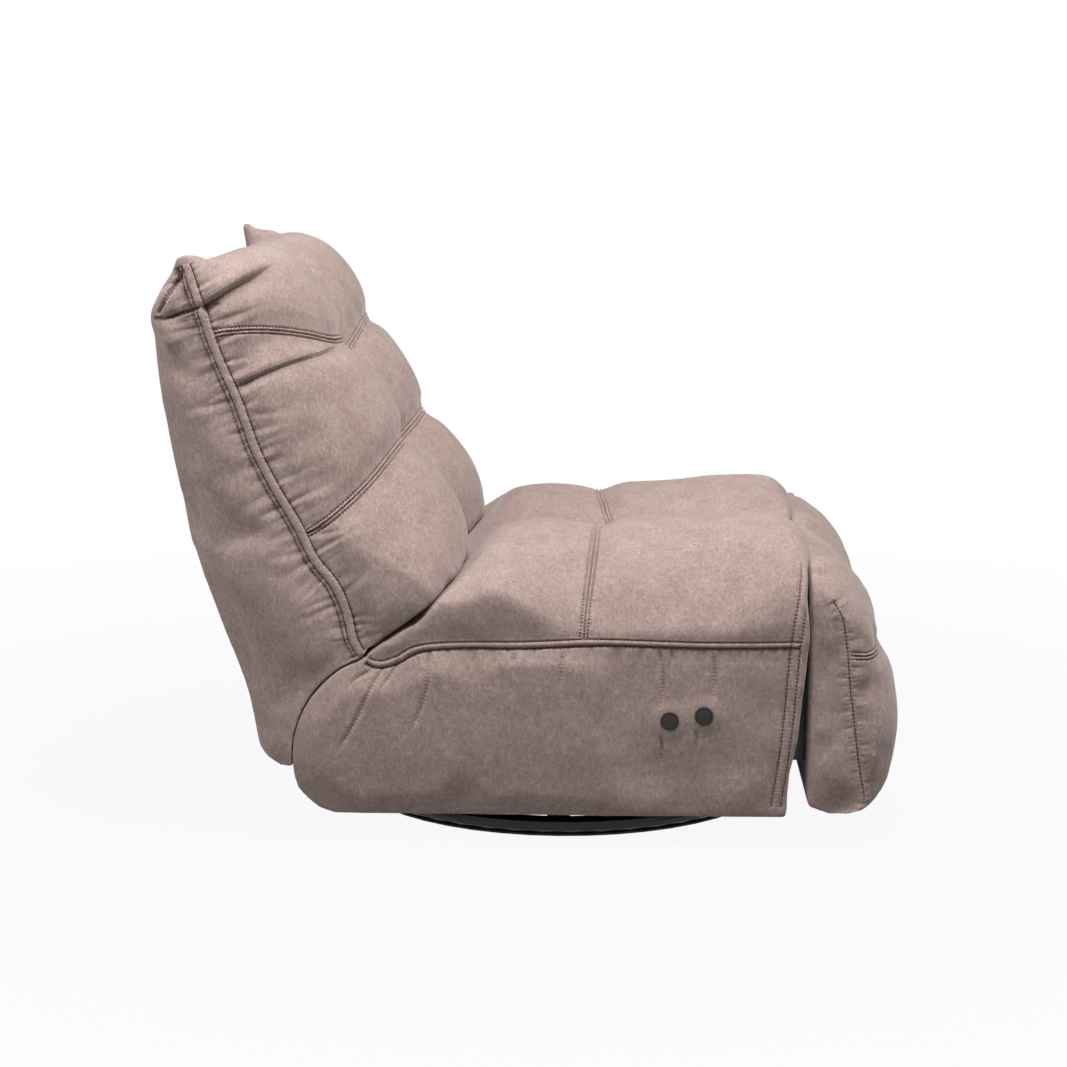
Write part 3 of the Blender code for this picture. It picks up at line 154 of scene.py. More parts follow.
def places_across(straight, edge, count, edge_count):
    """Places along X from side to side, closer together at the rounded sides."""
    half = np.concatenate([np.linspace(0, straight, count),
                           np.linspace(straight + 0.005, edge, edge_count)])
    return np.concatenate([-half[:0:-1], half])


def outward(x, reach, least, square):
    """How much of a crown stands at a place across one half."""
    across = np.clip((abs(x) - CROWN_X) / (reach - CROWN_X), 0, 1)
    return least + (1 - least) * (1 - across ** square) ** (1 / square)


def step_between(value, low, high):
    """0 below a range, 1 above it, and a smooth rise between."""
    share = np.clip((value - low) / (high - low), 0, 1)
    return share * share * (3 - 2 * share)


def valley(x, depth):
    """Share of a crown's height that is left towards the middle of the chair."""
    inward = max(0.0, 1 - abs(x) / CROWN_X)
    return 1 - depth * inward ** 1.7


# Mesh helpers

def points_of(obj):
    flat = np.empty(len(obj.data.vertices) * 3)
    obj.data.vertices.foreach_get("co", flat)
    return flat.reshape(-1, 3)


def normals_of(obj):
    flat = np.empty(len(obj.data.vertices) * 3)
    obj.data.vertices.foreach_get("normal", flat)
    return flat.reshape(-1, 3)


def set_points(obj, points):
    obj.data.vertices.foreach_set("co", points.ravel())
    obj.data.update()


def only(obj):
    """Make this the one selected and active object."""
    bpy.ops.object.select_all(action="DESELECT")
    obj.select_set(True)
    bpy.context.view_layer.objects.active = obj
    return obj


def apply_all(obj):
    only(obj)
    for modifier in list(obj.modifiers):
        bpy.ops.object.modifier_apply(modifier=modifier.name)
    return obj


def new_piece(name, bm):
    bmesh.ops.recalc_face_normals(bm, faces=bm.faces)
    mesh = bpy.data.meshes.new(name)
    bm.to_mesh(mesh)
    bm.free()
    obj = bpy.data.objects.new(name, mesh)
    bpy.context.scene.collection.objects.link(obj)
    return obj


def loft_into(bm, rings):
    """Closed skin through rings of (x, y, z) points, y counted from the swivel axis."""
    loops = [[bm.verts.new((x, y + SWIVEL_Y, z)) for x, y, z in ring] for ring in rings]
    for near, far in zip(loops, loops[1:]):
        for index in range(len(near)):
            after = (index + 1) % len(near)
            bm.faces.new((near[index], near[after], far[after], far[index]))
    bm.faces.new(loops[0][::-1])
    bm.faces.new(loops[-1])


def prism_into(bm, outline, x_low, x_high):
    loft_into(bm, [[(x, y, z) for y, z in outline] for x in (x_low, x_high)])


def fabric_from(obj, voxel=VOXEL, rounds=6):
    """One even skin from the rough form, its edges eased."""
    modifier = obj.modifiers.new("skin", "REMESH")
    modifier.mode = "VOXEL"
    modifier.voxel_size = voxel
    modifier.use_smooth_shade = True
    modifier = obj.modifiers.new("ease", "SMOOTH")
    modifier.factor = 0.5
    modifier.iterations = rounds
    return apply_all(obj)


def spread_out(obj, moved, rounds):
    """Even out the moves of neighbouring points, so that the cloth has no small lumps."""
    ends = np.empty(len(obj.data.edges) * 2, int)
    obj.data.edges.foreach_get("vertices", ends)
    near, far = ends.reshape(-1, 2).T
    count = np.bincount(ends, minlength=len(moved))[:, None]
    for _ in range(rounds):
        total = np.stack([np.bincount(near, moved[far, axis], len(moved))
                          + np.bincount(far, moved[near, axis], len(moved))
                          for axis in range(3)], axis=1)
        moved = (moved + total / count) / 2
    return moved


def pad_out(obj, held, pressure, cap, rounds):
    """Blow the cover up like a stuffed pad; held points stay, and cap limits the rest."""
    before = points_of(obj)
    set_points(obj, before - normals_of(obj) * (0.006 * (1 - held))[:, None])
    group = obj.vertex_groups.new(name="sewn")
    for index, weight in enumerate(held.tolist()):
        if weight > 0.01:
            group.add([index], weight, "REPLACE")
    cloth = obj.modifiers.new("padding", "CLOTH")
    settings = cloth.settings
    settings.quality = 4
    settings.mass = 0.25
    settings.tension_stiffness = 12
    settings.compression_stiffness = 12
    settings.shear_stiffness = 6
    settings.bending_stiffness = 0.8
    settings.use_pressure = True
    settings.uniform_pressure_force = pressure
    settings.vertex_group_mass = "sewn"
    settings.shrink_min = -CLOTH_SLACK
    settings.effector_weights.gravity = 0
    cloth.collision_settings.use_collision = False
    cloth.point_cache.frame_start = 1
    cloth.point_cache.frame_end = CLOTH_FRAMES
    for number in range(1, CLOTH_FRAMES + 1):
        bpy.context.scene.frame_set(number)
    apply_all(obj)
    bpy.context.scene.frame_set(1)
    obj.vertex_groups.clear()
    moved = spread_out(obj, points_of(obj) - before, rounds)
    length = np.linalg.norm(moved, axis=1, keepdims=True)
    set_points(obj, before + moved * np.minimum(1, cap / np.maximum(length, 1e-9)))


def refine(obj):
    modifier = obj.modifiers.new("finer", "SUBSURF")
    modifier.levels = modifier.render_levels = 1
    return apply_all(obj)


# Noise in numbers, always the same

def ripple(u, v, seed):
    """Smooth noise over two directions, from -1 to 1, one bump to a unit."""
    table = np.random.default_rng(seed).uniform(-1, 1, (128, 128))
    iu, iv = np.floor(u).astype(int), np.floor(v).astype(int)
    fu, fv = u - iu, v - iv
    fu, fv = fu * fu * (3 - 2 * fu), fv * fv * (3 - 2 * fv)
    low = table[iu % 128, iv % 128] * (1 - fu) + table[(iu + 1) % 128, iv % 128] * fu
    high = table[iu % 128, (iv + 1) % 128] * (1 - fu) + table[(iu + 1) % 128, (iv + 1) % 128] * fu
    return low * (1 - fv) + high * fv


# Seams

class Seam:
    """A sewn line on a cover: even points, the cover's normals, and how it is sewn.

    The profile gives the cover's height across the line, and each gather is
    (side, height, length, pitch): creases that run away from one side of the line.
    """

    def __init__(self, line, profile, gathers=(), seed=0, fade=(0.0, 0.0), rows=()):
        self.points, self.normals = line
        steps = np.linalg.norm(np.diff(self.points, axis=0), axis=1)
        self.along = np.concatenate([[0], np.cumsum(steps)])
        way = np.gradient(self.points, axis=0)
        self.ways = way / np.maximum(np.linalg.norm(way, axis=1, keepdims=True), 1e-9)
        side = np.cross(self.normals, self.ways)
        self.sides = side / np.maximum(np.linalg.norm(side, axis=1, keepdims=True), 1e-9)
        self.profile = np.array(profile).T / 1000
        self.gathers = gathers
        self.seed = seed
        self.fade = fade
        self.rows = rows
        self.tree = KDTree(len(self.points))
        for index, point in enumerate(self.points):
            self.tree.insert(point, index)
        self.tree.balance()

    def measure(self, points, reach):
        """Indices near the line, with their distance along and across it."""
        low, high = self.points.min(0) - reach, self.points.max(0) + reach
        inside = np.nonzero(((points > low) & (points < high)).all(1))[0]
        found = [self.tree.find(points[index]) for index in inside]
        nearest = np.array([hit[1] for hit in found], int)
        away = np.array([hit[2] for hit in found])
        near = away < reach
        inside, nearest, away = inside[near], nearest[near], away[near]
        offset = points[inside] - self.points[nearest]
        side = np.sign((offset * self.sides[nearest]).sum(1))
        rest = (offset * self.ways[nearest]).sum(1)
        past = np.maximum(0, np.abs(rest) - SEAM_STEP)
        across = np.sqrt(np.maximum(away ** 2 - rest ** 2, 0))
        return inside, self.along[nearest] + rest, across * side, past


def tree_of(obj):
    bm = bmesh.new()
    bm.from_mesh(obj.data)
    tree = BVHTree.FromBMesh(bm)
    bm.free()
    return tree


def project(tree, starts, direction):
    """Where rays from these points first meet a cover, and its normals there."""
    found, normals = [], []
    for start in starts:
        way = Vector(direction) if not callable(direction) else Vector(direction(start))
        place, normal, _, _ = tree.ray_cast(Vector(start), way)
        if place is not None:
            found.append(place)
            normals.append(normal)
    return np.array(found), np.array(normals)


def ease_line(points, rounds=4):
    points = points.copy()
    for _ in range(rounds):
        points[1:-1] = (points[:-2] + 2 * points[1:-1] + points[2:]) / 4
    return points


def finer_near(obj, *zones):
    """Halve the faces beside the seams, so that these can be crisp: (seams, reach) each."""
    bm = bmesh.new()
    bm.from_mesh(obj.data)
    bm.verts.ensure_lookup_table()
    points = points_of(obj)
    close = np.zeros(len(points), bool)
    for seams, reach in zones:
        for seam in seams:
            close[seam.measure(points, reach)[0]] = True
    edges = [edge for edge in bm.edges
             if close[edge.verts[0].index] and close[edge.verts[1].index]]
    bmesh.ops.subdivide_edges(bm, edges=edges, cuts=1, use_grid_fill=True)
    bm.to_mesh(obj.data)
    bm.free()


def creases(seam, along, across, gather):
    """Depth of the creases that run away from one side of a seam."""
    side, height, length, pitch = gather
    draw = np.random.default_rng(seam.seed * 100 + int(pitch * 1e4) + side)
    distance = across * side
    depth = np.zeros(len(along))
    for number in range(int(seam.along[-1] / pitch) + 1):
        start = (number + draw.uniform(-0.45, 0.45)) * pitch
        reach = length * draw.uniform(0.30, 1.0)
        deep = height * draw.uniform(0.25, 1.0)
        wide = pitch * draw.uniform(0.13, 0.23)
        lean, bend = draw.uniform(-0.20, 0.20), draw.uniform(-2.0, 2.0)
        near = np.nonzero((distance > 0) & (distance < reach)
                          & (np.abs(along - start) < 3 * pitch + 0.6 * reach))[0]
        away = distance[near]
        centre = start + lean * away + bend * away ** 2
        off = (along[near] - centre) / (wide * (1 + 0.9 * away / reach))
        taper = (1 - away / reach) ** 0.8 * step_between(away, 0.002, 0.008)
        depth[near] += deep * taper * (0.45 * np.exp(-((off - 2.0) / 1.1) ** 2)
                                       + 0.20 * np.exp(-((off + 2.2) / 1.2) ** 2)
                                       - np.exp(-np.abs(off) ** 1.25))
    return depth


def carve(obj, seams):
    """Sink each seam into its cover and gather the cloth beside it."""
    points = points_of(obj)
    normals = normals_of(obj)
    shift = np.zeros(len(points))
    for seam in seams:
        reach = max([np.abs(seam.profile[0]).max()] + [gather[2] for gather in seam.gathers])
        inside, along, across, past = seam.measure(points, reach)
        first, last = seam.fade
        fade = np.exp(-(past / 0.004) ** 2) * step_between(along, -0.001, first + 0.001)
        fade = fade * step_between(seam.along[-1] - along, -0.001, last + 0.001)
        waver = WAVER * np.sin(math.tau * along / STITCH_PITCH)
        shift[inside] += np.interp(across + waver * np.sign(across), *seam.profile) * fade
        between = 0.5 + 0.5 * np.cos(math.tau * along / STITCH_PITCH)
        for row in seam.rows:
            shift[inside] -= (PUCKER * between * fade
                              * np.exp(-((across - row) / STITCH_SPAN) ** 2))
        for gather in seam.gathers:
            shift[inside] += creases(seam, along, across, gather) * np.exp(-(past / 0.02) ** 2)
    set_points(obj, points + normals * shift[:, None])


# Back: cushion, shell and sides are one sewn cover

BACK_CROWN = (
    (0.075, 0.89), (0.124, 0.945), (0.181, 0.965), (0.241, 0.955), (0.315, 0.895),
    (0.400, 0.80), (0.44, 0.81), (0.518, 0.80), (0.61, 0.755), (0.690, 0.695),
    (0.73, 0.72), (0.78, 0.715), (0.85, 0.675), (0.916, 0.585), (0.964, 0.42),
    (0.995, 0.22),
)
BACK_REAR = (
    (1.014, 0.02), (0.998, -0.12), (0.946, -0.325), (0.784, -0.530), (0.649, -0.655),
    (0.509, -0.770), (0.367, -0.880), (0.190, -0.930), (0.031, -0.965),
    (-0.058, -1.040), (-0.125, -1.125), (-0.185, -1.125),
)


def back_rings():
    """Outlines of the back's section, from its right side to its left."""
    rings = []
    for x in places_across(0.34, 0.392, 18, 12):
        front = []
        for index, (along, rise) in enumerate(BACK_CROWN):
            near_crease = 1 - step_between(along, 0.10, 0.30)
            least = 0.04 + 0.58 * near_crease
            thick = outward(x, BACK_REACH, least, 1.75) * valley(x, BACK_DIP)
            drop = (1 - thick) * 0.075 * max(0.0, 1 - index / 3)
            front.append(((along - drop) * BACK_LENGTH, max(rise * thick * 0.2, 0.0006)))
        over = max(0.0, (abs(x) - 0.310) / 0.082)
        inset = 0.040 * (1 - math.sqrt(max(0.0, 1 - over ** 2)))
        rear = [(along * BACK_LENGTH, depth * (1 - inset / 0.185) * 0.185)
                for along, depth in BACK_REAR]
        line = [back_point(-0.005, -0.002)] + [back_point(*pair) for pair in front]
        line += [back_point(*pair) for pair in rear]
        line = resample(smooth_line(line, 0.012), 190)
        knuckle = arc(BACK_PIVOT, KNUCKLE - 0.003, -5, 70, 25)
        rings.append([(x, y, z) for y, z in [*line, *knuckle]])
    return rings


def clear_of_crease(points, gap, at_crease, at_knuckle):
    """Move the points that these tests pick off the crease and the seat's round end.

    They come to lie this far behind the crease's sloping plane and outside the round end,
    or with a negative gap in front of the one and within the other.
    """
    y, z = points[:, 1] - SWIVEL_Y, points[:, 2]
    dy, dz = CREASE[0] - BACK_FOOT[0], CREASE[1] - BACK_FOOT[1]
    length = math.hypot(dy, dz)
    off = ((y - BACK_FOOT[0]) * dz - (z - BACK_FOOT[1]) * dy) / length
    inside = at_crease(y, z, off) & (z < CREASE[1] + CREASE_EASE)
    push = np.where(inside, gap - off, 0)
    push *= 1 - step_between(z, CREASE[1], CREASE[1] + CREASE_EASE)
    y, z = y + push * dz / length, z - push * dy / length
    ry, rz = y - BACK_PIVOT[0], z - BACK_PIVOT[1]
    radius = np.hypot(ry, rz)
    scale = np.where(at_knuckle(y, z, radius), (KNUCKLE + gap) / np.maximum(radius, 1e-6), 1)
    points[:, 1] = BACK_PIVOT[0] + ry * scale + SWIVEL_Y
    points[:, 2] = BACK_PIVOT[1] + rz * scale
    return points


def clear_of_seat(points, gap):
    """Keep the back's cover behind the crease and outside the seat's round end."""
    def at_crease(y, z, off):
        return (off < gap) & (z > BACK_FOOT[1] - 0.003) & (y < BACK_FOOT[0] + 0.017)

    def at_knuckle(y, z, radius):
        return (radius < KNUCKLE + gap) & (z < BACK_FOOT[1] + 0.004) & (radius > 0.05)
    return clear_of_crease(points, gap, at_crease, at_knuckle)


def clear_of_back(points, gap):
    """Keep the seat's cover in front of the crease and within its round end."""
    def at_crease(y, z, off):
        return (off > -gap) & (z > BACK_FOOT[1])

    def at_knuckle(y, z, radius):
        low = (y > BACK_FOOT[0]) | (z < BACK_FOOT[1])
        return (radius > KNUCKLE - gap) & (y > BACK_PIVOT[0] - 0.02) & low
    return clear_of_crease(points, -gap, at_crease, at_knuckle)


# Bands of the back's and the seat's sides, measured from the photo
BACK_WELT = ((0.531, 0.853), (0.521, 0.822), (0.511, 0.792), (0.494, 0.738), (0.461, 0.659),
             (0.435, 0.585), (0.407, 0.529), (0.378, 0.479), (0.354, 0.429), (0.325, 0.391),
             (0.308, 0.351), (0.298, 0.308), (0.287, 0.288))
SEAT_WELT = ((0.278, 0.2800), (0.270, 0.2755), (0.256, 0.274), (0.234, 0.281), (0.189, 0.300),
             (0.054, 0.305), (-0.062, 0.309), (-0.207, 0.305), (-0.352, 0.307))


def side_line(tree, places, side, step=SEAM_STEP):
    """Line on a cover's side above these places of the side view."""
    line = smooth_line(places, step)[::-side]
    starts = [(side * 0.6, y + SWIVEL_Y, z) for y, z in line]
    points, normals = project(tree, starts, (-side, 0, 0))
    return ease_line(points), normals


def evenly(tree, points):
    """Even points on the cover along a rough line, with the cover's normals."""
    line = smooth_line(ease_line(np.array(points)), SEAM_STEP)
    hits = [tree.find_nearest(Vector(point)) for point in line]
    return (ease_line(np.array([hit[0] for hit in hits])),
            np.array([hit[1] for hit in hits]))


def round_line(tree, core, front, far, low_angle=0):
    """Line over a pad from its right side to its left, by rays towards its core.

    core(x, share) gives a point inside the pad, front the way out of its face, and
    share runs from 0 at the side to 1 at the crown.
    """
    found = []
    front = Vector(front)
    rays = [(-1, angle) for angle in np.arange(low_angle, 90, 1.5)]
    rays += [(0, x) for x in np.arange(-CROWN_X, CROWN_X + 0.001, 0.006)]
    rays += [(1, angle) for angle in np.arange(90, low_angle, -1.5)]
    for side, value in rays:
        if side:
            angle = math.radians(value)
            inner = Vector(core(side * CROWN_X, max(0.0, math.sin(angle))))
            way = Vector((side * math.cos(angle), 0, 0)) + front * math.sin(angle)
        else:
            inner = Vector(core(value, 1.0))
            way = front
        place = tree.ray_cast(inner + way * far, -way)[0]
        if place is not None:
            found.append(place)
    return evenly(tree, found)


def along_back(tree, side_share, crown_share, middle_share):
    """Cross seam of the back, from band to band over both crowns."""
    def core(x, share):
        inward = max(0.0, 1 - abs(x) / CROWN_X)
        along = side_share + (crown_share - side_share) * share ** 1.2
        along += (middle_share - crown_share) * inward ** 1.5
        y, z = back_point(along * BACK_LENGTH, 0.004)
        return x, y + SWIVEL_Y, z
    return round_line(tree, core, (0, -math.cos(LEAN), math.sin(LEAN)), 0.5, -1)


def alike(*half):
    """A sewn line's heights that are the same on both sides, from its middle outwards."""
    return [(-across, height) for across, height in half[:0:-1]] + list(half)


# Heights across a sewn line, in millimetres: (place across, height)
BACK_WELT_SEWN = (
    (-40, 0), (-28, -0.4), (-20, -1.1), (-16, -2.0), (-13.8, -3.2), (-12.4, -5.4),
    (-11.0, -2.2), (-9, -0.9), (-7.2, -1.5), (-6.1, -5.6), (-5.0, -0.9), (-3.4, 1.0),
    (0, 1.6), (4.2, 1.1), (6.0, -0.6), (7.2, -7.5), (8.7, -2.8), (11.5, -1.9), (17, -1.0),
    (27, -0.4), (40, 0))
CROSS_SEWN = alike(
    (0, -8.0), (1.2, -3.6), (2.2, -1.7), (3.2, -1.6), (4.6, -3.0), (5.4, -4.6),
    (6.2, -3.2), (7.2, -2.4), (9.6, -2.0), (17, -1.0), (28, 0))
DEEP_FOLD = (
    (-36, 0), (-26, -1.6), (-15, -5.0), (-8, -9.5), (-3, -14.5), (0, -16.5), (1.4, -11),
    (3.2, -0.5), (6, 3.6), (11, 4.8), (20, 3.4), (36, 0))
EAR_SEWN = alike((0, -8.5), (1.8, -4.0), (4.5, 1.0), (11, 1.6), (20, 0))
SOFT_FOLD = (
    (-24, 0), (-13, -1.4), (-6, -3.8), (-2, -6.2), (0, -6.8), (1.4, -3.6), (3.6, 1.0),
    (9, 1.9), (21, 0))
THIN_FOLD = (
    (-16, 0), (-7, 0.9), (-3.4, -0.5), (-1.3, -2.6), (0, -3.4), (1.3, -2.6), (3.4, -0.5),
    (7, 0.8), (15, 0))
REAR_SEWN = alike((0, -6.5), (1.6, -2.4), (3.0, 0.5), (7, 1.0), (16, 0))
BACK_GATHERS = ((1, 0.0018, 0.028, 0.0082), (1, 0.0036, 0.095, 0.0180),
                (-1, 0.0024, 0.036, 0.0088), (-1, 0.0036, 0.090, 0.0200))
REAR_GATHERS = ((1, 0.0012, 0.034, 0.0120), (-1, 0.0012, 0.034, 0.0120))
VALLEY_GATHERS = ((1, 0.0022, 0.110, 0.026), (-1, 0.0022, 0.110, 0.026))
CREASE_GATHERS = ((1, 0.0010, 0.020, 0.0100), (-1, 0.0010, 0.020, 0.0100),
                  (1, 0.0012, 0.060, 0.034), (-1, 0.0012, 0.060, 0.034))
CROSS_ROWS = (-STITCH_SIDE, STITCH_SIDE)
BACK_ROWS = (-0.0124,)
UNSEWN = ((-1, 0), (1, 0))

# Seams at the rear corners of the back, which come closer together downwards
REAR_SEAM_X = 0.292
REAR_SEAM_TOP = 0.825
REAR_SEAM_LOW = 0.200
REAR_SEAM_SLANT = 0.030

# Points and folds of the back's top corners, and its folds below them
EAR_TIP = (0.533, 0.860)
EAR_TOP = (0.508, 0.862)
EAR_PUFF = (0.553, 0.803)
SHELL_PUFF = (0.556, 0.752)
EAR_REAR = (0.578, 0.779)
EAR_EDGE = ((0.532, 0.848), (0.552, 0.815), (0.573, 0.783))
EAR_FOLD = ((0.580, 0.776), (0.560, 0.778), (0.535, 0.785), (0.511, 0.793))
TOP_FOLD = ((0.509, 0.793), (0.486, 0.808), (0.453, 0.829), (0.418, 0.849))
MIDDLE_FOLD = ((0.468, 0.677), (0.430, 0.695), (0.385, 0.711), (0.330, 0.724))
BACK_FOLDS = (               # line, profile, and how far it fades at either end
    (TOP_FOLD, DEEP_FOLD, (0.0, 0.07)),
    (EAR_FOLD, EAR_SEWN, (0, 0)),
    (MIDDLE_FOLD, SOFT_FOLD, (0.02, 0.07)),
    (EAR_EDGE, EAR_SEWN, (0.020, 0.004)),
)
EAR_X = 0.384
# How far the top corner's tip is drawn back and up, and over what reach, on each side
TIP_PULL = {-1: (0.004, 0.009, 0.046), 1: (0.030, 0.023, 0.054)}


def pull_to(points, place, target, reach):
    """Draw the cover near a place towards a point, most at the middle."""
    away = np.linalg.norm(points - place, axis=1)
    share = np.clip(1 - (away / reach) ** 2, 0, 1) ** 2
    return points + (np.array(target) - place) * share[:, None]


def shape_ears(cover):
    """Pinch both top corners of the back out to their points, and puff their gussets."""
    points = points_of(cover)
    for side in (-1, 1):
        rearward, rise, spread = TIP_PULL[side]
        for (y, z), (dx, dy, dz), reach in ((EAR_TIP, (-0.003, rearward, rise), spread),
                                            (EAR_TOP, (0.0, 0.0, 0.009), 0.036),
                                            (EAR_REAR, (-0.002, 0.009, 0.002), 0.040),
                                            (EAR_PUFF, (0.008, 0.002, 0.001), 0.026),
                                            (SHELL_PUFF, (0.007, 0.003, 0.0), 0.032)):
            place = np.array([side * EAR_X, y + SWIVEL_Y, z])
            nearest = points[np.argmin(np.linalg.norm(points - place, axis=1))]
            target = nearest + np.array([side * dx, dy, dz])
            points = pull_to(points, nearest, target, reach)
    set_points(cover, points)


def back_cross_lines(tree):
    """The two cross seams, each at these shares of the back's length."""
    return [along_back(tree, 0.830, 0.690, 0.625), along_back(tree, 0.318, 0.400, 0.366)]


def make_back():
    bm = bmesh.new()
    loft_into(bm, back_rings())
    cover = fabric_from(new_piece("back_cover", bm), rounds=3)
    points = points_of(cover)
    y, z = points[:, 1] - SWIVEL_Y, points[:, 2]
    radius = np.hypot(y - BACK_PIVOT[0], z - BACK_PIVOT[1])
    held = np.where((radius < KNUCKLE + 0.006) & (z < BACK_FOOT[1]), 1.0, 0.0)
    tree = tree_of(cover)
    lines = [side_line(tree, BACK_WELT, side) for side in (-1, 1)] + back_cross_lines(tree)
    held = np.maximum(held, sewn(points, [line[0] for line in lines[:2]], 0.019))
    held = np.maximum(held, 0.85 * sewn(points, [line[0] for line in lines[2:]], 0.012))
    set_points(cover, clear_of_seat(points, 0.0012))
    pad_out(cover, held, *BACK_PADDING)
    set_points(cover, clear_of_seat(points_of(cover), 0.0012))
    refine(cover)
    shape_ears(cover)
    tree = tree_of(cover)
    welts, folds, corners = [], [], []
    for side in (-1, 1):
        line = side_line(tree, BACK_WELT, side)
        welts.append(Seam(line, BACK_WELT_SEWN, BACK_GATHERS, 11 + side, rows=BACK_ROWS))
        for places, profile, fade in BACK_FOLDS:
            folds.append(Seam(side_line(tree, places, side), profile, (), 5, fade[::-side]))
    for side in (-1, 1):
        down = [(side * (REAR_SEAM_X - REAR_SEAM_SLANT * (0.80 - z)), 0.9, z)
                for z in np.linspace(REAR_SEAM_TOP, REAR_SEAM_LOW, 60)]
        line = evenly(tree, project(tree, down, (0, -1, 0))[0])
        corners.append(Seam(line, REAR_SEWN, REAR_GATHERS, 51 + side, (0.02, 0.02)))
    cross = [Seam(line, CROSS_SEWN, CREASE_GATHERS, 31 + number, (0.004, 0.004), CROSS_ROWS)
             for number, line in enumerate(back_cross_lines(tree))]
    down = [back_point(share * BACK_LENGTH, 0.3) for share in np.linspace(0.93, 0.12, 40)]
    down = project(tree, [(0, y + SWIVEL_Y, z) for y, z in down],
                   (0, math.cos(LEAN), -math.sin(LEAN)))[0]
    middle = Seam(evenly(tree, down), UNSEWN, VALLEY_GATHERS, 41)
    finer_near(cover, (welts, BAND_ZONE), (cross, SEAM_ZONE))
    finer_near(cover, (folds, FOLD_ZONE), (corners, CORNER_ZONE))
    finer_near(cover, (welts + cross, SEAM_CORE), (folds, FOLD_CORE), (corners, CORNER_CORE))
    carve(cover, welts + cross + folds + [middle] + corners)
    set_points(cover, clear_of_seat(points_of(cover), 0.0008))
    return cover, welts, cross


def sewn(points, lines, width):
    """1 on a sewn line, falling to 0 at this distance from it."""
    tree = KDTree(sum(len(line) for line in lines))
    count = 0
    for line in lines:
        for point in line:
            tree.insert(point, count)
            count += 1
    tree.balance()
    distance = np.array([tree.find(point)[2] for point in points])
    return np.clip(1.6 - 1.6 * distance / width, 0, 1)


# Seat: cushion and side covers are one sewn cover

SEAT_CROWN = (
    (0.00, 0.57), (-0.002, 0.62), (-0.014, 0.67), (-0.022, 0.72), (-0.020, 0.775),
    (-0.006, 0.83), (0.02, 0.868), (0.07, 0.895), (0.16, 0.905), (0.26, 0.90), (0.36, 0.86),
    (0.46, 0.84), (0.55, 0.835), (0.61, 0.83), (0.66, 0.835), (0.74, 0.835),
    (0.84, 0.815), (0.92, 0.76), (1.00, 0.64),
)
SEAT_RISE = 0.168


def seat_side():
    """Outline of the side cover, counted from its rear top downwards."""
    foot_z = BACK_PIVOT[1] + math.sqrt(KNUCKLE ** 2 - (BACK_FOOT[0] - BACK_PIVOT[0]) ** 2)
    high = math.degrees(math.asin((foot_z - BACK_PIVOT[1]) / KNUCKLE))
    corner = 0.062
    drop = BACK_PIVOT[1] - COVER_BOTTOM
    low = -math.degrees(math.asin((drop - corner) / (KNUCKLE - corner)))
    turn = arc(BACK_PIVOT, KNUCKLE - corner, low, low, 1)[0]
    outline = arc(BACK_PIVOT, KNUCKLE + 0.004, high, low, 22)
    outline += arc(turn, corner, low, -90, 6)[1:]
    outline += [(SEAT_FRONT + 0.026, COVER_BOTTOM), (SEAT_FRONT, BAND_Z + 0.004),
                (crease_y(BAND_Z, -0.004), BAND_Z + 0.004), (crease_y(foot_z, -0.004), foot_z)]
    return outline


def seat_rings():
    """Outlines of the seat cushion's section, from its right side to its left."""
    rings = []
    crown = [(SEAT_FRONT + share * (CREASE[0] - SEAT_FRONT), rise * SEAT_RISE)
             for share, rise in SEAT_CROWN]
    for x in places_across(0.346, 0.396, 18, 10):
        top = []
        for y, rise in crown:
            near_crease = step_between(y, -0.02, 0.10)
            slope = 2.5 - 1.0 * step_between(y, -0.35, -0.25)
            least = 0.08 + 0.54 * near_crease
            out = outward(x, SEAT_REACH, least, slope) * valley(x, SEAT_DIP)
            z = BAND_Z + rise * out
            if y < SEAT_FRONT:
                y += (SEAT_FRONT - y) * (1 - step_between(z, BOARD_TOP, BOARD_TOP + 0.014))
            top.append((min(y, crease_y(z, -0.005)), z))
        y, z = top[-1]
        if crease_y(z, -0.005) > y + 0.006:
            top.append((crease_y(z, -0.005), z))
        top = resample(smooth_line(top, 0.010), 80)
        under = []
        inside = abs(x) < 0.350
        for y in np.linspace(crease_y(TUCK_Z if inside else BAND_Z - 0.004, -0.004),
                             SEAT_FRONT, 24):
            under.append((y, deck_height(y) + 0.009 if inside else BAND_Z - 0.004))
        rings.append([(x, y, z) for y, z in [*top, *under]])
    return rings


def across_seat(tree):
    """Cross seam of the seat, from band to band over both crowns."""
    def core(x, share):
        inward = max(0.0, 1 - abs(x) / CROWN_X)
        return x, -0.038 - 0.015 * share - 0.025 * inward ** 1.5 + SWIVEL_Y, BAND_Z + 0.006
    return round_line(tree, core, (0, 0, 1), 0.5)


FRONT_EDGE = ((-0.321, 0.056), (-0.331, 0.130), (-0.338, 0.203), (-0.344, 0.283),
              (-0.350, 0.335), (-0.356, 0.372), (-0.360, 0.398), (-0.362, 0.416))
SEAT_WELT_SEWN = (
    (-30, 0), (-17, -1.0), (-10.5, -2.2), (-7.8, -3.4), (-6.0, -9.0), (-4.4, -6.6),
    (-3.2, -2.4), (-0.8, -1.0), (1.4, -1.4), (3.0, -3.0), (4.2, -6.6), (5.4, -3.0),
    (7.0, -1.9), (9.0, -2.0), (14, -1.2), (22, -0.5), (32, 0))
SEAT_ROWS = (-0.0062,)
EDGE_ROWS = (-0.007, 0.007)
EDGE_SEWN = alike((0, 0.4), (5.8, -1.3), (7, -5.0), (8.2, -1.6), (11, -0.8), (20, 0))
SEAT_GATHERS = ((1, 0.0008, 0.018, 0.0110), (-1, 0.0018, 0.034, 0.0100),
                (-1, 0.0024, 0.100, 0.026))
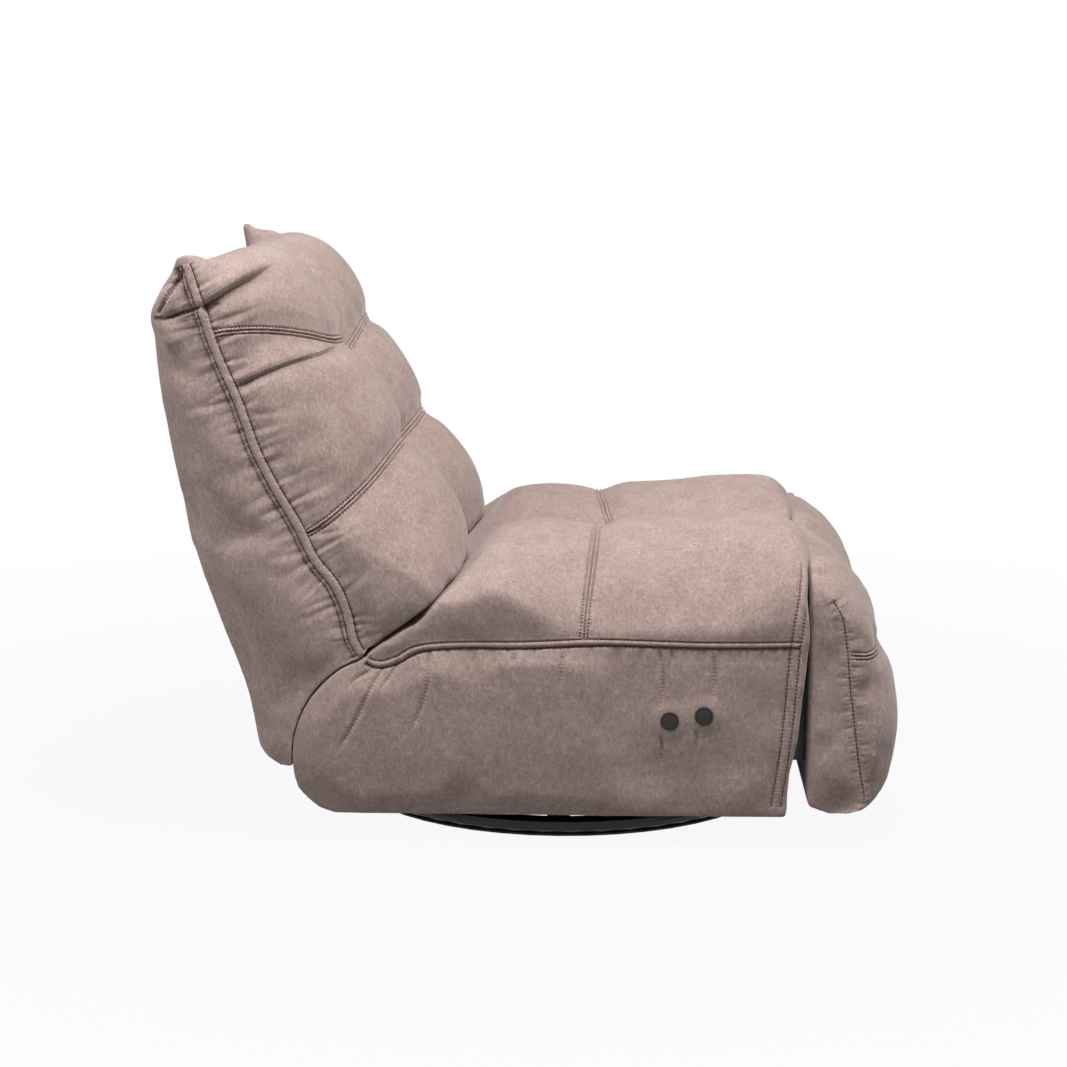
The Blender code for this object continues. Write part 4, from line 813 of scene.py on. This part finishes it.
DIP_GATHERS = ((1, 0.0020, 0.09, 0.040), (-1, 0.0020, 0.09, 0.040))
SIDE_FOLDS = (              # from the band down
    ((0.254, 0.270), (0.274, 0.235), (0.291, 0.199), (0.311, 0.162), (0.326, 0.138)),
    ((0.270, 0.266), (0.294, 0.252), (0.314, 0.233)),
    ((0.189, 0.292), (0.188, 0.251), (0.204, 0.197), (0.218, 0.169)),
    ((0.231, 0.285), (0.243, 0.258), (0.268, 0.226)),
    ((-0.008, 0.297), (-0.007, 0.272), (-0.002, 0.228)),
    ((0.117, 0.293), (0.132, 0.262)),
    ((0.062, 0.295), (0.066, 0.255)),
    ((-0.152, 0.296), (-0.154, 0.250), (-0.153, 0.200)),
    ((-0.152, 0.178), (-0.154, 0.150), (-0.152, 0.112)),
    ((-0.226, 0.296), (-0.229, 0.255), (-0.226, 0.210)),
    ((-0.203, 0.186), (-0.205, 0.165), (-0.203, 0.135)),
)
BUTTONS = ((-0.164, 0.193), (-0.214, 0.201))
BUTTON_FACE = -0.3958        # the cover's face under the buttons' rings
FOOT_DRAW = 0.009            # how far the side covers are drawn in at their hem


def make_seat():
    bm = bmesh.new()
    loft_into(bm, seat_rings())
    outline = seat_side()
    for side in (-1, 1):
        low, high = sorted((side * (PANEL_OUT + 0.0012), side * 0.393))
        prism_into(bm, outline, low, high)
    cover = fabric_from(new_piece("seat_cover", bm), rounds=3)
    points = points_of(cover)
    normals = normals_of(cover)
    y, z = points[:, 1] - SWIVEL_Y, points[:, 2]
    reach = np.abs(points[:, 0])
    under = (reach < PANEL_OUT + 0.006) & (z < deck_height(y) + 0.03) & (normals[:, 2] < 0.3)
    inner = (reach < PANEL_OUT + 0.010) & (z < BAND_Z + 0.02)
    bottom = z < COVER_BOTTOM + 0.008
    front = (y < SEAT_FRONT + 0.018) & (z < BAND_Z + 0.05)
    held = np.where(under | inner | bottom | front, 1.0, 0.0)
    tree = tree_of(cover)
    lines = [side_line(tree, SEAT_WELT, side) for side in (-1, 1)]
    lines += [side_line(tree, FRONT_EDGE, side) for side in (-1, 1)]
    lines.append(across_seat(tree))
    held = np.maximum(held, sewn(points, [line[0] for line in lines], 0.012))
    for button_y, button_z in BUTTONS:
        away = np.hypot(y - button_y, z - button_z)
        held = np.maximum(held, (points[:, 0] < -0.37) * (1 - step_between(away, 0.016, 0.130)))
    belly = (reach > 0.372) & (z < BAND_Z)
    drawn = FOOT_DRAW * (1 - step_between(z, COVER_BOTTOM - 0.01, 0.20)) ** 1.5
    points[belly, 0] -= (np.sign(points[:, 0]) * drawn)[belly]
    set_points(cover, points)
    pad_out(cover, held, *SEAT_PADDING)
    set_points(cover, clear_of_back(points_of(cover), 0.0008))
    refine(cover)
    tree = tree_of(cover)
    welts, edges, folds = [], [], []
    for side in (-1, 1):
        welts.append(Seam(side_line(tree, SEAT_WELT, side), SEAT_WELT_SEWN, SEAT_GATHERS,
                          61 + side, rows=SEAT_ROWS))
        edges.append(Seam(side_line(tree, FRONT_EDGE, side), EDGE_SEWN, (), 71 + side,
                          (0.008, 0.008), EDGE_ROWS))
        for places in SIDE_FOLDS:
            folds.append(Seam(side_line(tree, places, side), THIN_FOLD, (), 75,
                              (0.012, 0.045)[::-side]))
    cross = [Seam(across_seat(tree), CROSS_SEWN, CREASE_GATHERS, 81, (0.006, 0.006),
                  CROSS_ROWS)]
    down = [(0, y + SWIVEL_Y, 0.6) for y in np.linspace(-0.33, 0.10, 30)]
    middle = Seam(evenly(tree, project(tree, down, (0, 0, -1))[0]), UNSEWN, DIP_GATHERS, 87)
    sewn_lines = welts + cross + edges
    finer_near(cover, (sewn_lines, SEAM_ZONE), (folds, FOLD_ZONE))
    finer_near(cover, (sewn_lines, SEAM_CORE), (folds, THIN_CORE))
    carve(cover, sewn_lines + folds + [middle])
    points = clear_of_back(points_of(cover), 0.0006)
    inner = (np.abs(points[:, 0]) < PANEL_OUT + 0.0006) & (points[:, 2] < BAND_Z)
    points[inner, 0] = np.sign(points[inner, 0]) * (PANEL_OUT + 0.0006)
    points[:, 2] = np.maximum(points[:, 2], COVER_BOTTOM + 0.001)
    limit = (SEAT_FRONT + SWIVEL_Y
             - 0.016 * step_between(points[:, 2], BOARD_TOP, BOARD_TOP + 0.020)
             - 0.100 * step_between(points[:, 2], BOARD_TOP + 0.020, BOARD_TOP + 0.060))
    points[:, 1] = np.maximum(points[:, 1], limit)
    for y, z in BUTTONS:
        away = np.hypot(points[:, 1] - SWIVEL_Y - y, points[:, 2] - z)
        near = (points[:, 0] < -0.37) * (1 - step_between(away, 0.0145, 0.034))
        points[:, 0] += (BUTTON_FACE - points[:, 0]) * near
    set_points(cover, points)
    return cover, welts, edges, cross


# Footrest pad

PAD_FRONT = (
    (0.00, 1.00), (0.16, 0.982), (0.36, 0.935), (0.58, 0.855), (0.77, 0.745), (0.86, 0.64),
    (0.905, 0.59), (0.945, 0.50), (0.99, 0.41), (1.00, 0.33), (0.95, 0.225), (0.85, 0.10),
    (0.72, 0.025), (0.58, 0.00), (0.28, 0.00), (0.06, 0.03),
)


def footrest_rings():
    """Outlines of the footrest pad's section, from its right side to its left."""
    rings = []
    rear = BOARD_FACE + 0.0122
    depth = BOARD_FACE + 0.500
    height = PAD_HIGH - PAD_LOW
    for x in places_across(0.33, PAD_REACH - 0.004, 16, 12):
        thick = outward(x, PAD_REACH, 0.66, 2.4) * valley(x, PAD_DIP)
        out = outward(x, PAD_REACH, 0, 5.0)
        top, low = 0.130 * (1 - out), 0.008 * (1 - out)
        line = [(rear, PAD_HIGH - top)]
        for forward, up in PAD_FRONT:
            z = PAD_LOW + low + (height - low - top) * up
            line.append((BOARD_FACE - depth * forward * thick, z))
        line.append((rear, line[-1][1] + 0.010))
        rings.append([(x, y, z) for y, z in resample(smooth_line(line, 0.008), 96)])
    return rings


BOXING = ((-0.400, 0.372), (-0.412, 0.350), (-0.420, 0.310), (-0.424, 0.268), (-0.432, 0.201),
          (-0.440, 0.139), (-0.450, 0.083), (-0.452, 0.062))
BOXING_SEWN = ((-22, 0), (-10, -1.4), (-4, -2.8), (-1.5, -4.2), (0, -9), (1.5, -4.2),
               (4, -2.6), (10, -1.2), (22, 0))
BOXING_GATHERS = ((1, 0.0016, 0.026, 0.0100), (-1, 0.0016, 0.026, 0.0100),
                  (1, 0.0020, 0.045, 0.030), (-1, 0.0020, 0.045, 0.034))
PAD_GATHERS = ((1, 0.0006, 0.014, 0.010), (-1, 0.0006, 0.014, 0.010))


def across_pad(tree):
    """Cross seam of the footrest pad, from one boxing seam to the other."""
    def core(x, share):
        return x, BOARD_FACE - 0.045 + SWIVEL_Y, 0.289 - 0.006 * share
    return round_line(tree, core, (0, -1, 0), 0.5)


def make_footrest():
    bm = bmesh.new()
    loft_into(bm, footrest_rings())
    cover = fabric_from(new_piece("footrest_cover", bm), 0.0065)
    points = points_of(cover)
    held = np.where(points[:, 1] - SWIVEL_Y > BOARD_FACE + 0.004, 1.0, 0.0)
    tree = tree_of(cover)
    lines = [side_line(tree, BOXING, side) for side in (-1, 1)]
    lines.append(across_pad(tree))
    held = np.maximum(held, sewn(points, [line[0] for line in lines[:2]], 0.009))
    held = np.maximum(held, 0.7 * sewn(points, [line[0] for line in lines[2:]], 0.010))
    pad_out(cover, held, *FOOTREST_PADDING)
    refine(cover)
    tree = tree_of(cover)
    boxing = [Seam(side_line(tree, BOXING, side), BOXING_SEWN, BOXING_GATHERS, 91 + side,
                   (0.004, 0.004)) for side in (-1, 1)]
    cross = [Seam(across_pad(tree), CROSS_SEWN, PAD_GATHERS, 95, (0.010, 0.010), CROSS_ROWS)]
    finer_near(cover, (boxing + cross, BOXING_ZONE))
    finer_near(cover, (boxing + cross, SEAM_CORE))
    carve(cover, boxing + cross)
    points = points_of(cover)
    y = points[:, 1] - SWIVEL_Y
    over = (np.abs(points[:, 0]) < 0.349) & (y > -0.390) & (y < -0.370) & (points[:, 2] > 0.38)
    points[over, 2] = np.maximum(points[over, 2], BOARD_TOP + 0.0025)
    set_points(cover, points)
    return cover, cross


# Stitches and closing cloth

CLOTH_SIDE = 0.310           # half the closing cloth's width


def one_stitch():
    """A short thread with rounded ends, along X."""
    bpy.ops.object.select_all(action="DESELECT")
    bpy.ops.mesh.primitive_uv_sphere_add(segments=6, ring_count=5, radius=1,
                                         rotation=(0, math.pi / 2, 0))
    bpy.ops.object.transform_apply(location=False, rotation=True, scale=False)
    bpy.ops.object.mode_set(mode="EDIT")
    bpy.ops.mesh.select_all(action="SELECT")
    bpy.ops.transform.resize(value=(STITCH_LENGTH / 2, THREAD, THREAD))
    bpy.ops.object.mode_set(mode="OBJECT")
    return bpy.context.object


def stitch_rows(name, cover, seams, body):
    """Threads along the rows of each seam, copies of one stitch, all in one piece."""
    tree = tree_of(cover)
    stitch = one_stitch()
    shape = points_of(stitch)
    sides = [list(face.vertices) for face in stitch.data.polygons]
    bpy.data.objects.remove(stitch)
    points, faces = [], []
    for seam in seams:
        for row in seam.rows:
            for number in range(2, int(seam.along[-1] / STITCH_PITCH) - 1):
                index = int(np.searchsorted(seam.along, (number + 0.5) * STITCH_PITCH))
                start = Vector(seam.points[index] + seam.sides[index] * row
                               + seam.normals[index] * 0.010)
                place, out, _, _ = tree.ray_cast(start, Vector(-seam.normals[index]), 0.03)
                if place is None:
                    continue
                across = out.cross(Vector(seam.ways[index])).normalized()
                turn = np.array([across.cross(out), across, out])
                faces += [[corner + len(points) * len(shape) for corner in face]
                          for face in sides]
                points.append(shape @ turn + np.array(place))
    mesh = bpy.data.meshes.new(name)
    mesh.from_pydata(np.vstack(points).tolist(), [], faces)
    piece = bpy.data.objects.new(name, mesh)
    bpy.context.scene.collection.objects.link(piece)
    mesh.shade_smooth()
    return dress(piece, "thread", body)


def closing_cloth():
    """Cloth from the seat's rear edge down the crease and round the box's end."""
    path = [(crease_y(z, 0.005), z) for z in np.linspace(TUCK_Z, BACK_FOOT[1] + 0.005, 12)]
    path += arc(BACK_PIVOT, KNUCKLE - 0.0065, 72, -27, 40)
    bm = bmesh.new()
    rows = []
    for x in np.linspace(-CLOTH_SIDE, CLOTH_SIDE, 32):
        sag = 0.0012 * float(ripple(np.array([x / 0.09]), np.array([0.3]), 3)[0])
        rows.append([bm.verts.new((x, y + sag + SWIVEL_Y, z)) for y, z in path])
    for near, far in zip(rows, rows[1:]):
        for index in range(len(near) - 1):
            bm.faces.new((near[index], near[index + 1], far[index + 1], far[index]))
    cloth = new_piece("rear_closing_cloth", bm)
    modifier = cloth.modifiers.new("thickness", "SOLIDIFY")
    modifier.thickness = 0.0010
    modifier.offset = 0
    apply_all(cloth)
    cloth.data.shade_smooth()
    dress(cloth, "suede", "seat_frame")


# Materials

WHITE = (1, 1, 1, 1)
BLACK = (0, 0, 0, 1)


def colour(code):
    """Linear colour from an sRGB hex code."""
    levels = [int(code[place:place + 2], 16) / 255 for place in (1, 3, 5)]
    return tuple(level / 12.92 if level <= 0.04045 else ((level + 0.055) / 1.055) ** 2.4
                 for level in levels) + (1.0,)


def add_node(tree, kind, settings=None, inputs=None, **values):
    """A node with its settings and inputs, each a value or a link as (node, socket)."""
    node = tree.nodes.new(kind)
    for key, value in (settings or {}).items():
        setattr(node, key, value)
    named = {key.replace("_", " "): value for key, value in values.items()}
    for key, value in {**named, **(inputs or {})}.items():
        if isinstance(value, tuple) and isinstance(value[0], bpy.types.Node):
            tree.links.new(value[0].outputs[value[1]], node.inputs[key])
        else:
            node.inputs[key].default_value = value
    return node


def new_material(name, **values):
    material = bpy.data.materials.new(name)
    material.use_nodes = True
    tree = material.node_tree
    shader = tree.nodes["Principled BSDF"]
    for key, value in values.items():
        shader.inputs[key.replace("_", " ")].default_value = value
    place = add_node(tree, "ShaderNodeTexCoord")
    return material, tree, shader, place


def every(size):
    """Scale at which a pattern comes again about every so many millimetres."""
    return 1000 / size


def colour_and_relief(tree, shader, tone, height, strength, depth):
    """Lead a colour and a relief, each a (node, socket), into a shader."""
    bump = add_node(tree, "ShaderNodeBump", inputs={"Height": height}, Strength=strength,
                    Distance=depth)
    for (node, socket), name in ((tone, "Base Color"), ((bump, "Normal"), "Normal")):
        tree.links.new(node.outputs[socket], shader.inputs[name])


def ramp_between(tree, source, stops):
    node = add_node(tree, "ShaderNodeValToRGB", inputs={"Fac": source})
    ramp = node.color_ramp
    while len(ramp.elements) < len(stops):
        ramp.elements.new(0.5)
    for element, (position, shade) in zip(ramp.elements, stops):
        element.position = position
        element.color = shade
    return node


def suede_material(name, dark, middle, light, rubbed, bump):
    """Brushed microfibre suede: matt, a pale bloom at the edges, fine rubbed hatching."""
    material, tree, shader, place = new_material(
        name, Roughness=0.90, Sheen_Weight=0.34, Sheen_Roughness=0.45,
        Sheen_Tint=colour("#F2ECEA"), Specular_IOR_Level=0.25)
    clouds = add_node(tree, "ShaderNodeTexNoise", inputs={"Vector": (place, "Object")},
                      Scale=every(38.46), Detail=6.0, Roughness=0.62)
    # A hand or brush leaves strokes of 1 mm by 5 mm: these are coarser, so that they show
    strokes = []
    for turn, sizes in (((0.5, 0.2, 0.7), (3.03, 9.09, 9.09)),
                        ((-0.6, 0.8, -0.4), (9.09, 3.03, 8.33))):
        laid = add_node(tree, "ShaderNodeMapping", inputs={
            "Vector": (place, "Object"), "Rotation": turn,
            "Scale": [every(size) for size in sizes]})
        strokes.append(add_node(tree, "ShaderNodeTexNoise", inputs={"Vector": (laid, "Vector")},
                                Scale=1.0, Detail=3.0, Roughness=0.6, Distortion=1.2))
    hatch = add_node(tree, "ShaderNodeMath", {"operation": "MAXIMUM"},
                     {0: (strokes[0], "Fac"), 1: (strokes[1], "Fac")})
    shown = add_node(tree, "ShaderNodeMath", {"operation": "MULTIPLY"}, {0: (hatch, 0), 1: 0.85})
    mix = add_node(tree, "ShaderNodeMath", {"operation": "MULTIPLY_ADD"},
                   {0: (clouds, "Fac"), 1: 0.17, 2: (shown, 0)})
    tone = ramp_between(tree, (mix, 0), [(0.44, colour(dark)), (0.56, colour(middle)),
                                         (0.69, colour(light))])
    # Rubs are hair-fine pale lines 7 mm apart, bent, and only where the clouds are light
    warp = add_node(tree, "ShaderNodeTexNoise", inputs={"Vector": (place, "Object")},
                    Scale=every(16.67), Detail=2.0)
    bent = add_node(tree, "ShaderNodeMix", {"data_type": "VECTOR"},
                    {0: 0.02, 4: (place, "Object"), 5: (warp, "Color")})
    cracks = add_node(tree, "ShaderNodeTexVoronoi",
                      {"feature": "DISTANCE_TO_EDGE"}, {"Vector": (bent, 1)}, Scale=every(6.667))
    line = ramp_between(tree, (cracks, "Distance"), [(0.0, WHITE), (0.06, BLACK)])
    where = ramp_between(tree, (clouds, "Fac"), [(0.44, BLACK), (0.60, WHITE)])
    rubs = add_node(tree, "ShaderNodeMath", {"operation": "MULTIPLY"},
                    {0: (line, "Color"), 1: (where, "Color")})
    amount = add_node(tree, "ShaderNodeMath", {"operation": "MULTIPLY"}, {0: (rubs, 0), 1: 0.26})
    worn = add_node(tree, "ShaderNodeMix", {"data_type": "RGBA"},
                    {0: (amount, 0), 6: (tone, "Color"), 7: colour(rubbed)})
    colour_and_relief(tree, shader, (worn, 2), (mix, 0), bump, 0.0010)
    return material


def coated_material(name, shades, rough, metallic, grain_size, bump, **values):
    """Even finish with a fine texture of its own: powder coat, moulded plastic, rubber.

    The real grain is mostly under 0.5 mm, and is drawn coarser, so that it shows.
    """
    material, tree, shader, place = new_material(name, Metallic=metallic, **values)
    grain = add_node(tree, "ShaderNodeTexNoise", inputs={"Vector": (place, "Object")},
                     Scale=every(grain_size), Detail=3.0)
    low, high = shades
    tone = ramp_between(tree, (grain, "Fac"), [(0.35, colour(low)), (0.65, colour(high))])
    gloss = add_node(tree, "ShaderNodeMapRange", inputs={
        "Value": (grain, "Fac"), "To Min": rough - 0.05, "To Max": rough + 0.07})
    tree.links.new(gloss.outputs[0], shader.inputs["Roughness"])
    colour_and_relief(tree, shader, (tone, "Color"), (grain, "Fac"), bump, 0.0006)
    return material


def wood_material(name, dark, light, sizes):
    """Sawn or peeled wood, unvarnished, with its grain's size along X, Y and Z."""
    material, tree, shader, place = new_material(name, Roughness=0.72)
    laid = add_node(tree, "ShaderNodeMapping", inputs={
        "Vector": (place, "Object"), "Scale": [every(size) for size in sizes]})
    grain = add_node(tree, "ShaderNodeTexNoise", inputs={"Vector": (laid, "Vector")},
                     Scale=1.0, Detail=8.0, Roughness=0.65, Distortion=0.8)
    tone = ramp_between(tree, (grain, "Fac"), [(0.30, colour(dark)), (0.70, colour(light))])
    colour_and_relief(tree, shader, (tone, "Color"), (grain, "Fac"), 0.3, 0.0006)
    return material


finishes = {
    # Matt pile, whose paler hatching and rubs show which way it was brushed
    "suede": suede_material("brushed_microfibre_suede", "#907B74", "#A18C85", "#B19E97",
                            "#CDBCB5", 0.32),
    # Thread of the suede's colour, so that a row reads by its needle holes
    "thread": coated_material("polyester_sewing_thread", ("#97827A", "#AC978E"),
                              0.7, 0.0, 1.111, 0.4),
    # Satin black, with a soft gleam along the ring's edge
    "black_steel": coated_material("black_powder_coated_steel", ("#0E0E0F", "#161718"),
                                   0.20, 0.0, 1.429, 0.12, Specular_IOR_Level=0.3),
    # Bright metal, which tells the moving links from the frame
    "zinc": coated_material("zinc_plated_steel", ("#A9ABAD", "#C6C8C9"),
                            0.34, 1.0, 3.846, 0.10),
    # Pale board with long, even bands
    "plywood": wood_material("poplar_plywood", "#A98258", "#CDAA7C", (7.94, 37.0, 37.0)),
    # Warmer wood with a bolder grain along the rails
    "timber": wood_material("sawn_pine", "#A87A4B", "#D0A873", (47.6, 8.93, 8.93)),
    # Dark wire with a blurred shine
    "spring_steel": coated_material("oiled_spring_steel", ("#4A4B4D", "#6A6B6D"),
                                    0.40, 1.0, 3.333, 0.15),
    # Even, half-matt black of moulded housings
    "black_plastic": coated_material("moulded_nylon", ("#151517", "#1D1D1F"),
                                     0.46, 0.0, 1.923, 0.25),
    # Glossy brown-black, so that the two buttons catch a small highlight
    "button_plastic": coated_material("glossy_button_resin", ("#241817", "#2C1E1C"),
                                      0.16, 0.0, 5.0, 0.02, Specular_IOR_Level=0.35),
    # Dead matt grey, without any shine
    "rubber": coated_material("moulded_rubber", ("#1C1C1C", "#272727"), 0.80, 0.0, 1.667, 0.3),
    # Dull, felt-like black that hides what lies behind it
    "dust_cloth": coated_material("nonwoven_polypropylene_cloth", ("#0D0D0E", "#1B1B1D"),
                                  0.92, 0.0, 1.111, 0.6),
}


def dress(obj, finish, body):
    obj.data.materials.clear()
    obj.data.materials.append(finishes[finish])
    if body:
        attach(obj, body)
    return obj


# Build the covers

back, back_welts, back_cross = make_back()
seat, seat_welts, seat_edges, seat_cross = make_seat()
foot, foot_cross = make_footrest()

for cover, body, stands_for, fill in (
        (back, "back", ("back_cushion", "back_shell"), 0.7),
        (seat, "seat_frame", ("seat_cushion", "side_cover_left", "side_cover_right"), 0.8),
        (foot, "footrest", ("footrest_pad",), 0.7)):
    cover.data.shade_smooth()
    dress(cover, "suede", body)
    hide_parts(*stands_for)

stitch_rows("back_cross_stitches", back, back_cross, "back")
stitch_rows("back_welt_stitches", back, back_welts, "back")
stitch_rows("seat_cross_stitches", seat, seat_cross, "seat_frame")
stitch_rows("seat_welt_stitches", seat, seat_welts, "seat_frame")
stitch_rows("seat_edge_stitches", seat, seat_edges, "seat_frame")
stitch_rows("footrest_stitches", foot, foot_cross, "footrest")

closing_cloth()

# Each CAD material's name is that of its finish
for node in nodes.values():
    if not node.hide_render:
        for index, slot in enumerate(node.data.materials):
            node.data.materials[index] = finishes[slot.name.split(".")[0]]


# Floor, light and camera

LAMPS = (                    # place, aim, size and watts
    ((-1.0, -1.2, 3.1), (0, 0, 0.4), 0.9, 60),
    ((-1.2, -0.3, 2.9), (0, 0, 0.5), 0.9, 34),
    ((-1.3, 1.7, 1.9), (-0.3, 0.4, 0.65), 0.9, 27),
    ((0.4, -0.5, 3.1), (0, 0, 0.4), 1.6, 18),
)
CAMERA_PLACE = (-3.80, -0.134, 1.068)
CAMERA_PITCH = math.radians(9.96)
CAMERA_YAW = math.radians(2.18)
CAMERA_LENS = 81             # in mm, for a sensor 36 mm wide


def pale_to_camera(tree):
    """1 where the camera, a gloss or clear glass looks, and 0 for the light itself."""
    path = add_node(tree, "ShaderNodeLightPath")
    seen = add_node(tree, "ShaderNodeMath", {"operation": "MAXIMUM"},
                    {0: (path, "Is Camera Ray"), 1: (path, "Is Glossy Ray")})
    return add_node(tree, "ShaderNodeMath", {"operation": "MAXIMUM"},
                    {0: (seen, 0), 1: (path, "Is Transmission Ray")})


def stage_floor():
    bpy.ops.mesh.primitive_plane_add(size=40, location=(0, 0, 0))
    floor = bpy.context.object
    floor.name = "studio_floor"
    material, tree, shader, place = new_material("pale_studio_floor", Roughness=0.9,
                                                 Specular_IOR_Level=0.1)
    grain = add_node(tree, "ShaderNodeTexNoise", inputs={"Vector": (place, "Object")}, Scale=3.0)
    tone = ramp_between(tree, (grain, "Fac"), [(0.0, colour("#8E8E8E")), (1.0, colour("#949494"))])
    tree.links.new(tone.outputs["Color"], shader.inputs["Base Color"])
    light = pale_to_camera(tree)
    glow = add_node(tree, "ShaderNodeEmission", Strength=1.0, Color=WHITE)
    away = add_node(tree, "ShaderNodeVectorMath", {"operation": "LENGTH"},
                    {0: (place, "Object")})
    # The floor is a touch greyer under the chair than far away
    plain = add_node(tree, "ShaderNodeMapRange", inputs={"Value": (away, "Value")},
                     From_Min=0.7, From_Max=2.4, To_Min=0.93, To_Max=1.0)
    part = add_node(tree, "ShaderNodeMath", {"operation": "MULTIPLY"},
                    {0: (light, 0), 1: (plain, 0)})
    mixed = add_node(tree, "ShaderNodeMixShader",
                     inputs={0: (part, 0), 1: (shader, 0), 2: (glow, 0)})
    tree.links.new(mixed.outputs[0], tree.nodes["Material Output"].inputs["Surface"])
    floor.data.materials.append(material)


def stage_light():
    world = bpy.data.worlds.new("studio")
    bpy.context.scene.world = world
    world.use_nodes = True
    tree = world.node_tree
    tree.nodes.clear()
    soft = add_node(tree, "ShaderNodeBackground", Strength=0.12, Color=WHITE)
    white = add_node(tree, "ShaderNodeBackground", Strength=1.0, Color=WHITE)
    pick = add_node(tree, "ShaderNodeMixShader",
                    inputs={0: (pale_to_camera(tree), 0), 1: (soft, 0), 2: (white, 0)})
    add_node(tree, "ShaderNodeOutputWorld", inputs={"Surface": (pick, 0)})
    for place, aim, size, power in LAMPS:
        lamp = bpy.data.lights.new("softbox", "AREA")
        lamp.size = size
        lamp.energy = power
        obj = bpy.data.objects.new("softbox", lamp)
        bpy.context.scene.collection.objects.link(obj)
        obj.location = place
        obj.rotation_euler = (Vector(aim) - Vector(place)).to_track_quat("-Z", "Y").to_euler()


def stage_camera():
    camera = bpy.data.cameras.new("photo_camera")
    camera.lens = CAMERA_LENS
    camera.sensor_width = 36
    obj = bpy.data.objects.new("photo_camera", camera)
    bpy.context.scene.collection.objects.link(obj)
    obj.location = CAMERA_PLACE
    flat = math.cos(CAMERA_PITCH)
    way = Vector((math.cos(CAMERA_YAW) * flat, math.sin(CAMERA_YAW) * flat,
                  -math.sin(CAMERA_PITCH)))
    obj.rotation_euler = way.to_track_quat("-Z", "Y").to_euler()
    bpy.context.scene.camera = obj


stage_floor()
stage_light()
stage_camera()
bpy.context.scene.view_settings.view_transform = "Standard"
